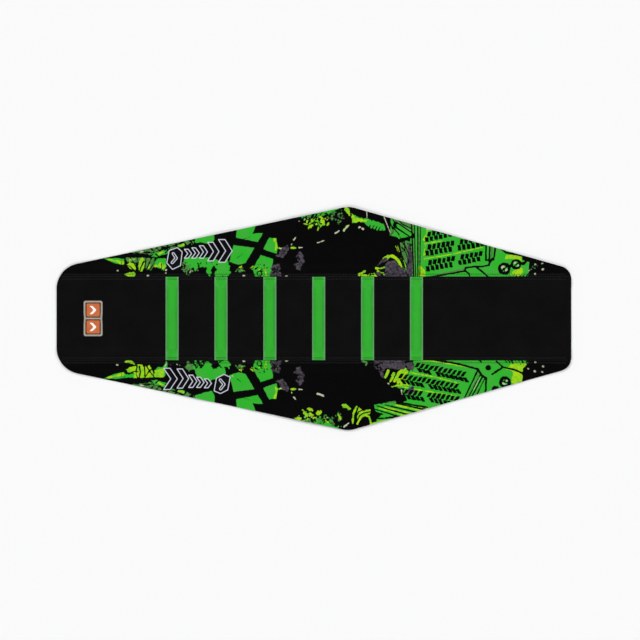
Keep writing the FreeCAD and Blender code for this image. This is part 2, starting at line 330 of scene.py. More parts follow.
@dataclass(frozen=True)
class GrainedVinyl(Finish):
    """PVC-coated upholstery cloth, embossed with a leather grain by a heated roller."""

    worn: str = "#09090A"
    grain_mm: float = 1.3
    depth_mm: float = 0.09

    def dress(self, tree: Tree, shader: Node) -> None:
        """Adds the grain's raised cells, the dull valleys between them and faint scuffing.

        Args:
            tree: the material's nodes.
            shader: its surface shader.
        """
        # The real grain is about 0.5 mm across; it is drawn 1.3 mm across so that it still shows.
        grain = {"Vector": self.place(tree), "Scale": 1.0 / (self.grain_mm * MM), "Randomness": 0.9}
        cells = add_node(tree, "TexVoronoi", grain, feature="DISTANCE_TO_EDGE")
        pads = add_node(tree, "MapRange", (cells, 0.0, 0.22), interpolation_type="SMOOTHSTEP")
        valley = min(1.0, self.roughness + 0.16)
        dull = add_node(tree, "MapRange", (pads, 0.0, 1.0, valley, self.roughness))
        tree.links.new(dull, shader.inputs["Roughness"])
        colour = self.mottle(tree, linear(self.colour), self.worn, 34.0, 0.55)
        tree.links.new(colour, shader.inputs["Base Color"])
        self.emboss(tree, shader, pads, self.depth_mm)


@dataclass(frozen=True)
class RibVinyl(GrainedVinyl):
    """Green coated cloth pulled over foam, with a painted sheen that greys and pales it along its sewn edges.
    """

    # Painted sheen: the greyish green that the strip's rounded flanks are paled to, as if they caught the
    # light.
    pale: str = "#79A87C"

    def dress(self, tree: Tree, shader: Node) -> None:
        """Adds the grain, then pales the colour towards the edges by the strip's painted-sheen mask.

        Args:
            tree: the material's nodes.
            shader: its surface shader.
        """
        super().dress(tree, shader)
        # Painted sheen: this attribute pales the strip towards its rounded flanks.
        sheen_mask = add_node(tree, "Attribute", out="Fac", attribute_name="sheen_mask")
        clouded = self.mottle(tree, linear(self.colour), self.worn, 22.0, 0.5)
        mixed = add_node(tree, "Mix", {0: sheen_mask, 6: clouded, 7: linear(self.pale)}, 2, data_type="RGBA")
        tree.links.new(mixed, shader.inputs["Base Color"])


class Ink(Enum):
    """The inks of the print, in the order that they go down, each with its colour."""

    GREEN = "#2BB028"
    MOSS = "#3E7A34"
    LIME = "#A9D414"
    PLUM = "#544D56"
    BLACK = "#030304"
    BADGE = "#0B0B10"
    CREAM = "#B9BCA0"

    @property
    def layer(self) -> str:
        """The attribute that holds how far each point is from this ink's edge, in millimetres."""
        return f"ink_{self.name.lower()}"


GREEN, MOSS, LIME, PLUM, BLACK, BADGE, CREAM = Ink


@dataclass(frozen=True)
class PrintedVinyl(Finish):
    """Smooth coated cloth with a solvent-ink print under a clear laminate: deep colour, soft even gloss."""

    outline: str = "#C9CCD6"
    outline_mm: float = 0.62
    bleed_mm: float = 0.28
    wobble_mm: float = 0.5

    def dress(self, tree: Tree, shader: Node) -> None:
        """Lays the inks over the black cloth in order, then adds the laminate's faint orange peel.

        Args:
            tree: the material's nodes.
            shader: its surface shader.
        """
        place = self.place(tree)
        grain = {"Vector": place, "Scale": 1.0 / (2.2 * MM), "Detail": 3.0, "Roughness": 0.6}
        wobble = add_node(tree, "TexNoise", grain)
        wander = (wobble, 2.0 * self.wobble_mm, -self.wobble_mm)
        shift = add_node(tree, "Math", wander, operation="MULTIPLY_ADD")
        colour: object = linear(self.colour)
        for ink in Ink:
            distance = add_node(tree, "Attribute", out="Fac", attribute_name=ink.layer)
            if ink is BADGE:
                colour = self.lay(tree, colour, self.shade(tree, ink), distance, 0.0)
                rim = add_node(tree, "Math", (distance,), operation="ABSOLUTE")
                colour = self.lay(tree, colour, linear(self.outline), rim, self.outline_mm)
            else:
                edge = add_node(tree, "Math", (distance, shift), operation="ADD")
                colour = self.lay(tree, colour, self.shade(tree, ink), edge, 0.0)
        tree.links.new(colour, shader.inputs["Base Color"])
        low, high = self.roughness - 0.05, self.roughness + 0.08
        gloss = add_node(tree, "MapRange", (wobble, 0.3, 0.7, low, high))
        tree.links.new(gloss, shader.inputs["Roughness"])
        peel = add_node(tree, "TexNoise", {"Vector": place, "Scale": 1.0 / (1.6 * MM), "Detail": 2.0})
        self.emboss(tree, shader, peel, 0.03)

    def shade(self, tree: Tree, ink: Ink) -> object:
        """Gives an ink's own colour, clouded where its coverage is uneven.

        Args:
            tree: the material's nodes.
            ink: the ink.

        Returns:
            A linear colour, or the socket that carries it.
        """
        clouds = {
            GREEN: ("#46A63F", 16.0, 0.7), MOSS: ("#5F9150", 4.0, 0.8), LIME: ("#5FBB26", 5.0, 0.95),
            PLUM: ("#1C1A1E", 3.6, 1.0)
        }
        if ink in clouds:
            return self.mottle(tree, linear(ink.value), *clouds[ink])
        return linear(ink.value)

    def lay(self, tree: Tree, under: object, over: object, distance: Socket, edge: float) -> Socket:
        """Covers a colour with another one inside an edge.

        Args:
            tree: the material's nodes.
            under: the colour that is covered.
            over: the colour on top.
            distance: how far each point is outside the shape, in millimetres.
            edge: the distance at which the edge lies.

        Returns:
            The colour of both.
        """
        fade = (distance, edge - self.bleed_mm, edge + self.bleed_mm, 1.0, 0.0)
        cover = add_node(tree, "MapRange", fade, interpolation_type="SMOOTHSTEP")
        return add_node(tree, "Mix", {0: cover, 6: under, 7: over}, 2, data_type="RGBA")


@dataclass(frozen=True)
class KnitBacking(Finish):
    """Brushed polyester jersey that the coating is laminated to: matt, with fine lengthwise wales."""

    wale_mm: float = 3.2

    def dress(self, tree: Tree, shader: Node) -> None:
        """Adds the wales, the courses across them and uneven fuzz.

        Args:
            tree: the material's nodes.
            shader: its surface shader.
        """
        # Real wales are about 0.8 mm apart; they are drawn four times as wide so that they still show.
        # A wave texture repeats every 0.314 / scale metres.
        knit = []
        for direction, size in (("Y", self.wale_mm), ("X", self.wale_mm * 0.8)):
            wave = {
                "Vector": self.place(tree), "Scale": 0.314 / (size * MM), "Distortion": 1.2, "Detail": 2.0
            }
            knit.append(add_node(tree, "TexWave", wave, "Fac", bands_direction=direction))
        loops = add_node(tree, "Math", knit, operation="MULTIPLY")
        colour = self.mottle(tree, linear(self.colour), "#4A4B50", 9.0, 0.8)
        mixed = add_node(tree, "Mix", {0: loops, 6: colour, 7: linear("#5A5B60")}, 2, data_type="RGBA")
        tree.links.new(mixed, shader.inputs["Base Color"])
        self.emboss(tree, shader, loops, 0.25)


@dataclass(frozen=True)
class Foam(Finish):
    """Cross-linked polyethylene foam, skived to shape: dull, with open cut cells."""

    def dress(self, tree: Tree, shader: Node) -> None:
        """Adds the cut cells.

        Args:
            tree: the material's nodes.
            shader: its surface shader.
        """
        cells = add_node(tree, "TexVoronoi", {"Vector": self.place(tree), "Scale": 1.0 / (1.1 * MM)})
        tree.links.new(
            self.mottle(tree, linear(self.colour), "#3B3D42", 4.0, 0.8), shader.inputs["Base Color"]
        )
        self.emboss(tree, shader, cells, 0.3)


@dataclass(frozen=True)
class BondedThread(Finish):
    """Bonded polyester sewing thread, two plies twisted and waxed: a low silky gloss along each ply."""

    light: str = "#55565C"

    def dress(self, tree: Tree, shader: Node) -> None:
        """Adds the filaments' lighter streaks.

        Args:
            tree: the material's nodes.
            shader: its surface shader.
        """
        filaments = {"Vector": self.place(tree), "Scale": 1.0 / (0.45 * MM), "Detail": 2.0}
        streaks = add_node(tree, "TexNoise", filaments)
        both = {0: streaks, 6: linear(self.colour), 7: linear(self.light)}
        tree.links.new(add_node(tree, "Mix", both, 2, data_type="RGBA"), shader.inputs["Base Color"])
        shader.inputs["Sheen Weight"].default_value = 0.12
        shader.inputs["Sheen Roughness"].default_value = 0.4
        self.emboss(tree, shader, streaks, 0.05)


@dataclass(frozen=True)
class SoftPlastic(Finish):
    """Soft PVC cast in an open mould: satin, with a slightly cloudy pigment and a fine pebbled skin."""

    cloud: str = "#FFFFFF"

    def dress(self, tree: Tree, shader: Node) -> None:
        """Adds the cloudy pigment and the pebbled skin.

        Args:
            tree: the material's nodes.
            shader: its surface shader.
        """
        colour = self.mottle(tree, linear(self.colour), self.cloud, 4.5, 0.4)
        tree.links.new(colour, shader.inputs["Base Color"])
        pebbles = {"Vector": self.place(tree), "Scale": 1.0 / (0.7 * MM), "Detail": 3.0}
        self.emboss(tree, shader, add_node(tree, "TexNoise", pebbles), 0.04)


@dataclass(frozen=True)
class PaperSweep(Finish):
    """The studio's seamless matt paper, which is not part of the cover."""

    def dress(self, tree: Tree, shader: Node) -> None:
        """Adds the paper's faint fibre."""
        fibre = {"Vector": self.place(tree), "Scale": 1.0 / (3.0 * MM), "Detail": 3.0}
        self.emboss(tree, shader, add_node(tree, "TexNoise", fibre), 0.01)


# Grip vinyl is embossed PVC: near-black and matt, and only its grain catches the light.
GRIP_VINYL = GrainedVinyl(
    "Grip vinyl - embossed PVC-coated cloth", "grip_vinyl", "#020203", 0.48, 1.5, 0.07
)
# The print's cloth is calendered smooth before it is printed, so its black is deeper and glossier.
PRINTED_VINYL = PrintedVinyl(
    "Printed vinyl - laminated solvent print", "printed_vinyl", "#030304", 0.44, 1.5, 0.06
)
# The ribs' cloth is pigmented right through, a strong even green.
RIB_VINYL = RibVinyl(
    "Rib vinyl - pigmented PVC-coated cloth", "rib_vinyl", "#27AE22", 0.48, 1.5, 0.25, "#2E9E2C"
)
RIB_FOAM = Foam("Rib foam - skived polyethylene foam", "rib_foam", "#26272B", 0.9, 1.45)
BACKING = KnitBacking("Backing - brushed polyester jersey", "grip_vinyl", "#2E2F33", 0.92, 1.5, 0.3)
# A cut edge shows the coating's core, a shade lighter and duller than its face.
CUT_EDGE = Foam("Cut edge - coated cloth, die cut", "grip_vinyl", "#0E0E10", 0.8, 1.5, 0.2)
SEAM_THREAD = BondedThread(
    "Seam thread - bonded polyester", "seam_thread", "#09090B", 0.5, 1.55, 0.2, "#1F2024"
)
RIB_THREAD = BondedThread(
    "Rib thread - bonded polyester, green", "rib_thread", "#2A9A30", 0.5, 1.55, 0.3, "#66B868"
)
LABEL_THREAD = BondedThread(
    "Label thread - bonded polyester, beige", "label_thread", "#8E877D", 0.5, 1.55, 0.3, "#C8C2B6"
)
LABEL_BORDER = SoftPlastic(
    "Label border - cast soft PVC, stone", "label_border", "#A79C8F", 0.45, 1.5, 0.35, "#C4BEB2"
)
LABEL_FIELD = SoftPlastic(
    "Label tile - cast soft PVC, orange", "label_field", "#C4622F", 0.42, 1.5, 0.35, "#D4835A"
)
# Painted shadow: dark brown laid in the recess between the label's border and its tiles.
LABEL_SHADOW = SoftPlastic(
    "Label channel - painted shadow on soft PVC", "label_border", "#3A1D10", 0.6, 1.5, 0.2, "#52301C"
)
LABEL_MARK = SoftPlastic(
    "Label mark - cast soft PVC, white", "label_mark", "#FAF7EE", 0.4, 1.5, 0.35, "#FFFFFF"
)
SWEEP = PaperSweep("Sweep - matt paper", "", "#F7F7F7", 0.95, 1.4)


# --- the cut and the seams ---


@dataclass(frozen=True)
class CoverCut:
    """The outline of the whole cover laid flat: a long hexagon with rounded corners, in millimetres."""

    half_length: float = round(CAD_BOX[1].x / MM, 2)
    label_end: float = 73.5
    shoulder_x: float = 51.0
    shoulder: float = 163.5
    plain_end: float = 72.0
    label_radius: float = 38.0
    shoulder_radius: float = 37.0
    plain_radius: float = 20.0

    def corners(self) -> list[tuple[float, float, float]]:
        """Lists the corners before rounding.

        Returns:
            The x, y and radius of each, anticlockwise.
        """
        right = [
            (-self.half_length, -self.label_end, self.label_radius),
            (self.shoulder_x, -self.shoulder, self.shoulder_radius),
            (self.half_length, -self.plain_end, self.plain_radius)
        ]
        return right + [(x, -y, radius) for x, y, radius in reversed(right)]

    def outline(self, turn: float = 4.0) -> list[Point]:
        """Rounds the corners.

        Args:
            turn: the most degrees that one step of an arc turns by.

        Returns:
            The outline's points, anticlockwise, with straight sides left whole.
        """
        corners = self.corners()
        points: list[Point] = []
        for n, (x, y, radius) in enumerate(corners):
            here = Vector((x, y))
            back = (Vector(corners[n - 1][:2]) - here).normalized()
            ahead = (Vector(corners[(n + 1) % len(corners)][:2]) - here).normalized()
            half = back.angle(ahead) / 2.0
            centre = here + (back + ahead).normalized() * radius / math.sin(half)
            first = here + back * radius / math.tan(half) - centre
            swept = math.pi - 2.0 * half
            steps = max(2, math.ceil(math.degrees(swept) / turn))
            for k in range(steps + 1):
                angle = swept * k / steps
                spun = (
                    first.x * math.cos(angle) - first.y * math.sin(angle),
                    first.x * math.sin(angle) + first.y * math.cos(angle)
                )
                points.append((centre.x + spun[0], centre.y + spun[1]))
        return points

    def between(self, low: float, high: float) -> list[Point]:
        """Cuts the outline to a band across the cover.

        Args:
            low: the band's lowest y.
            high: its highest y.

        Returns:
            The cut outline, anticlockwise.
        """
        points = self.outline()
        for limit, keeps in ((low, 1.0), (high, -1.0)):
            kept: list[Point] = []
            for (x, y), (next_x, next_y) in sides_of(points):
                inside, next_inside = (y - limit) * keeps >= 0, (next_y - limit) * keeps >= 0
                if inside:
                    kept.append((x, y))
                if inside != next_inside:
                    share = (limit - y) / (next_y - y)
                    kept.append((x + share * (next_x - x), limit))
            points = kept
        return points


@dataclass(frozen=True)
class SeamFold:
    """A long seam: each panel's edge is turned under, so that two rounded folds meet in a narrow valley."""

    offset: float = middle("left_joining_thread")[1]
    hinge: float = middle("left_joining_thread")[2]
    bend: float = 1.35
    sheet: float = 1.0
    raised: float = 2.2
    allowance: float = 10.75
    step_head: float = 8.0
    step_foot: float = 22.0
    row: float = 3.6
    pitch: float = 3.5

    def face(self, away: Array) -> Array:
        """Gives the face's height where it is that far from the seam line."""
        fold = self.hinge * (1.0 + np.tanh(away / self.bend))
        return fold - (self.raised - self.sheet) * ease(self.step_head, self.step_foot, away)

    def back(self, away: Array) -> Array:
        """Gives the back's height, with the raw edge of the turned allowance."""
        fold = self.hinge * (1.0 - np.tanh(away / self.bend))
        return np.where(away > self.allowance + 0.05, np.maximum(self.face(away) - self.sheet, 0.0), fold)

    def pull(self, along: Array, away: Array, seed: int) -> Array:
        """Works out how the topstitching draws the folds in.

        Args:
            along: positions along the seam.
            away: distances from it.
            seed: sets where the puckers fall.

        Returns:
            The change of height.
        """
        pucker = Swell(15.0, 0.16, seed, 5).at(along, away * 0.15)
        band = ease(1.8, 4.2, away) * (1.0 - ease(6.5, 13.0, away))
        stitch = 0.5 - 0.5 * np.cos(2.0 * math.pi * along / self.pitch)
        groove = np.exp(-(((away - self.row) / 0.85) ** 2)) * (0.16 + 0.2 * (1.0 - stitch))
        return pucker * band - groove


SEAM = SeamFold()


@dataclass
class Panel:
    """One cut panel of coated cloth: a closed thin solid with a fine face and a coarser back."""

    name: str
    nodes: tuple[str, ...]
    body: str
    outline: list[Point]
    face_rows: list[tuple[float, float]]
    back_rows: list[tuple[float, float]]
    edge_step: float
    finish: Finish
    swell: Swell
    curl: float
    seed: int
    flat: tuple[float, float]
    area: float | None = None
    curl_reach: float = 101.0

    def away(self, y: Array) -> Array:
        """Gives the distance from the nearest seam."""
        return np.abs(np.abs(y) - SEAM.offset)

    def lift(self, x: Array, y: Array) -> Array:
        """Works out how far the cloth stands off the table.

        Args:
            x: positions along the cover, in millimetres.
            y: positions across it.

        Returns:
            The lift, which is never below 0 and fades out at the seams.
        """
        away = self.away(y)
        free = ease(8.0, 30.0, away)
        rise = np.maximum(self.swell.at(x, y) + self.swell.height * 0.6, 0.0)
        outward = ease(0.35, 1.0, (np.abs(y) - SEAM.offset) / self.curl_reach)
        ends = ease(0.80, 1.0, np.abs(x) / CoverCut.half_length) * 0.8
        from_seam = 0.35 * ease(0.0, 8.0, away) + 0.65 * free
        return free * rise + self.curl * np.maximum(outward, ends) * from_seam

    def face(self, x: Array, y: Array) -> Array:
        """Gives the height of the face in millimetres."""
        away = self.away(y)
        return SEAM.face(away) + self.lift(x, y) + SEAM.pull(x, away, self.seed)

    def back(self, x: Array, y: Array) -> Array:
        """Gives the height of the back in millimetres."""
        return SEAM.back(self.away(y)) + self.lift(x, y)

    def edge_points(self) -> Array:
        """Divides the outline's sides into even steps.

        Returns:
            The points, in the outline's order.
        """
        points: list[Point] = []
        for (x, y), (next_x, next_y) in sides_of(self.outline):
            steps = max(1, round(math.hypot(next_x - x, next_y - y) / self.edge_step))
            points += [(x + (next_x - x) * k / steps, y + (next_y - y) * k / steps) for k in range(steps)]
        return np.array(points)

    def filled(self, rim: Array, rows: list[tuple[float, float]]) -> tuple[Array, Array]:
        """Fills the outline with triangles.

        Args:
            rim: the outline's points.
            rows: for each row of inner points, its y and their spacing.

        Returns:
            The inner points, and triangles that number the rim's points first.
        """
        low, high = rim[:, 0].min(), rim[:, 0].max()
        parts = []
        for n, (y, step) in enumerate(rows):
            x = np.arange(low + step * (0.5 + 0.5 * (n % 2)), high, step)
            parts.append(np.column_stack([x, np.full(len(x), y)]))
        inner = np.concatenate(parts)
        clear = np.full(len(inner), 1e9)
        for (x, y), (next_x, next_y) in sides_of(self.outline):
            length = math.hypot(next_x - x, next_y - y)
            inward = (
                (next_x - x) * (inner[:, 1] - y) - (next_y - y) * (inner[:, 0] - x)
            ) / max(length, 1e-9)
            margin = 0.2 if abs(abs(y) - SEAM.offset) + abs(abs(next_y) - SEAM.offset) < 1e-6 else 0.45
            clear = np.minimum(clear, inward - margin)
        inner = inner[clear > 0.0]
        points = [Vector(p) for p in np.concatenate([rim, inner]).tolist()]
        _, _, triangles, origins, _, _ = delaunay_2d_cdt(points, [], [list(range(len(rim)))], 1, 1e-6)
        first = np.array([o[0] for o in origins])
        return inner, first[np.array([t for t in triangles if len(t) == 3])]

    def mesh(self) -> Piece:
        """Joins face, back and cut edge, with one shared line of points along each seam.

        Returns:
            The closed mesh, with its materials.
        """
        rim = self.edge_points()
        count = len(rim)
        face_inner, face_triangles = self.filled(rim, self.face_rows)
        back_inner, back_triangles = self.filled(rim, self.back_rows)
        face_xy = np.concatenate([rim, face_inner])
        face = np.column_stack([face_xy, self.face(*face_xy.T)])
        at_seam = self.away(rim[:, 1]) < 1e-6
        face[:count][at_seam, 2] = SEAM.hinge
        own = np.flatnonzero(~at_seam)
        back_xy = np.concatenate([rim[own], back_inner])
        back = np.column_stack([back_xy, self.back(*back_xy.T)])
        number = np.empty(count + len(back_inner), dtype=int)
        number[:count][at_seam] = np.flatnonzero(at_seam)
        number[:count][own] = len(face) + np.arange(len(own))
        number[count:] = len(face) + len(own) + np.arange(len(back_inner))
        ahead = (np.arange(count) + 1) % count
        low = number[:count]
        quads = [(low[n], low[ahead[n]], ahead[n], n) for n in range(count)]
        walls = [q for q in quads if len(set(q)) == 4]
        corners = [tuple(dict.fromkeys(q)) for q in quads if len(set(q)) == 3]
        under = number[back_triangles][:, ::-1]
        made = make_object(
            self.name, np.concatenate([face, back]), [face_triangles, under, walls, corners], 55.0
        )
        for finish in (self.finish, BACKING, CUT_EDGE):
            made.data.materials.append(finish.material())
        zones = np.zeros(len(made.data.polygons), dtype=np.int32)
        turned = np.abs(self.away(np.concatenate([rim, back_inner])[back_triangles].mean(axis=1)[:, 1]))
        zones[len(face_triangles) :] = 2
        zones[
            len(face_triangles) : len(face_triangles) + len(under)
        ] = np.where(turned < SEAM.allowance, 0, 1)
        made.data.polygons.foreach_set("material_index", zones)
        self.face_xy = np.concatenate([face_xy, back_xy])
        return made

    def build(self) -> Piece:
        """Returns:
            The finished piece.
        """
        made = self.mesh()
        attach(made, self.body)
        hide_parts(*self.nodes)
        LOG.info("%s: %d faces", made.name, len(made.data.polygons))
        return made


def rows_from(start: float, stop: float, step: float) -> list[tuple[float, float]]:
    """Gives even rows of inner points from one distance to another, each with its spacing."""
    count = max(1, round((stop - start) / step))
    return [(start + (stop - start) * n / count, step) for n in range(count + 1)]


@dataclass
class CoverPanels:
    """The three panels of the cover: the ribbed top and the two printed sides."""

    cut: CoverCut = field(default_factory=CoverCut)
    print_step: float = 0.92
    seam_rows: tuple[float, ...] = (0.3, 0.65, 1.05, 1.5, 2.0, 2.6, 3.2, 3.6, 4.2, 5.0, 6.0, 7.2, 8.4, 9.6)
    step_rows: tuple[float, ...] = (11.2, 13.0, 15.0, 17.0, 19.5)
    back_rows: tuple[float, ...] = (0.5, 1.1, 2.0, 4.0, 7.0, 10.7, 10.85, 13.0, 16.0)

    def top(self) -> Panel:
        """Plans the top panel, which lies almost flat under its ribs.

        Returns:
            The panel.
        """
        offset = SEAM.offset
        near = [(away, 1.15) for away in self.seam_rows] + [(away, 1.8) for away in self.step_rows]
        face = [(side * (offset - away), step) for away, step in near for side in (-1, 1)]
        face += rows_from(-offset + 22.5, offset - 22.5, 3.0)
        back = [(side * (offset - away), 3.0) for away in self.back_rows for side in (-1, 1)]
        back += rows_from(-offset + 20.0, offset - 20.0, 5.0)
        return Panel(
            "ribbed_top_panel", ("top_panel",), "top", self.cut.between(-offset, offset), sorted(face),
            sorted(back), 1.3, GRIP_VINYL, Swell(120.0, 0.22, 11), 0.25, 5, (0.142, 0.750)
        )

    def side(self, left: bool) -> Panel:
        """Plans a side panel.

        Args:
            left: whether it is the one on the +Y side.

        Returns:
            The panel, with a face fine enough to carry the print.
        """
        offset, side = SEAM.offset, 1 if left else -1
        limit = self.cut.shoulder
        fine = [away for away in self.seam_rows if away < 4.0]
        face = [(side * (offset + away), self.print_step) for away in fine]
        face += [
            (side * y, self.print_step) for y, _ in rows_from(offset + 4.4, limit, self.print_step * 0.866)
        ]
        back = [(side * (offset + away), 3.0) for away in self.back_rows]
        back += [(side * y, 5.0) for y, _ in rows_from(offset + 20.0, limit, 4.4)]
        word = "left" if left else "right"
        bounds = (offset, 200.0) if left else (-200.0, -offset)
        return Panel(
            f"{word}_printed_panel", (f"{word}_side_panel",), f"{word}_side", self.cut.between(*bounds),
            sorted(face), sorted(back), 1.3, PRINTED_VINYL, Swell(105.0, 0.55, 23 if left else 37), 1.5,
            7 if left else 9, (0.112, 0.745), 0.054
        )


# --- the print ---


def numbers(text: str) -> list[tuple[float, ...]]:
    """Reads groups of numbers in millimetres, with commas inside a group and spaces between groups."""
    return [tuple(map(float, group.split(","))) for group in text.split()]


def from_run(x: Array, v: Array, here: Point, ahead: Point) -> tuple[Array, Array]:
    """Measures from a straight run between two points.

    Args:
        x: places along the cover.
        v: places outward from the seam line.
        here: the run's start.
        ahead: its end.

    Returns:
        The distances from it, and the share of it at which each is measured.
    """
    run_x, run_v = ahead[0] - here[0], ahead[1] - here[1]
    share = ((x - here[0]) * run_x + (v - here[1]) * run_v) / (run_x**2 + run_v**2)
    share = np.clip(share, 0.0, 1.0)
    return np.hypot(x - here[0] - share * run_x, v - here[1] - share * run_v), share


class Shape:
    """A printed shape in millimetres: x along the cover, and v outward from the seam line."""

    def distance(self, x: Array, v: Array) -> Array:
        """Measures how far places are outside the shape's edge.

        Args:
            x: places along the cover.
            v: places outward from the seam line.

        Returns:
            The distances, negative inside.
        """
        raise NotImplementedError


@dataclass(frozen=True)
class Patch(Shape):
    """A straight-sided patch, given by its corners."""

    corners: Sequence[Point]

    def distance(self, x: Array, v: Array) -> Array:
        """Measures to the nearest side, and counts the sides crossed to tell in from out.

        Args:
            x: places along the cover.
            v: places outward from the seam line.

        Returns:
            The distances, negative inside.
        """
        nearest, inside = np.full(x.shape, 1e9), np.zeros(x.shape, dtype=bool)
        for here, ahead in sides_of(self.corners):
            nearest = np.minimum(nearest, from_run(x, v, here, ahead)[0])
            if ahead[1] != here[1]:
                slope = (ahead[0] - here[0]) / (ahead[1] - here[1])
                inside ^= ((here[1] > v) != (ahead[1] > v)) & (x < here[0] + (v - here[1]) * slope)
        return np.where(inside, -nearest, nearest)


@dataclass(frozen=True)
class Stroke(Shape):
    """A brush stroke along a broken line, whose width changes evenly from its start to its end."""

    line: Sequence[Point]
    start: float
    end: float

    def distance(self, x: Array, v: Array) -> Array:
        """Measures to the line, less half its width there.

        Args:
            x: places along the cover.
            v: places outward from the seam line.

        Returns:
            The distances, negative inside.
        """
        runs = list(zip(self.line, self.line[1:]))
        whole = sum(math.dist(here, ahead) for here, ahead in runs)
        nearest, done = np.full(x.shape, 1e9), 0.0
        for here, ahead in runs:
            length = math.dist(here, ahead)
            gap, share = from_run(x, v, here, ahead)
            width = self.start + (self.end - self.start) * (done + share * length) / whole
            nearest = np.minimum(nearest, gap - width / 2.0)
            done += length
        return nearest


@dataclass(frozen=True)
class Blot(Shape):
    """An oval blot: its centre, its half length and half width, and how far its length is turned from x."""

    x: float
    v: float
    long: float
    wide: float
    turn: float = 0.0

    def distance(self, x: Array, v: Array) -> Array:
        """Measures in the blot's own turned axes.

        Args:
            x: places along the cover.
            v: places outward from the seam line.

        Returns:
            The distances, negative inside.
        """
        cosine, sine = math.cos(math.radians(self.turn)), math.sin(math.radians(self.turn))
        along = (x - self.x) * cosine + (v - self.v) * sine
        across = (v - self.v) * cosine - (x - self.x) * sine
        return (np.hypot(along / self.long, across / self.wide) - 1.0) * min(self.long, self.wide)


@dataclass(frozen=True)
class Ring(Shape):
    """A round ring: its centre, the radius of its middle line, and its width."""

    x: float
    v: float
    radius: float
    width: float

    def distance(self, x: Array, v: Array) -> Array:
        """Measures from the middle line, negative inside the ring's width."""
        return np.abs(np.hypot(x - self.x, v - self.v) - self.radius) - self.width / 2.0


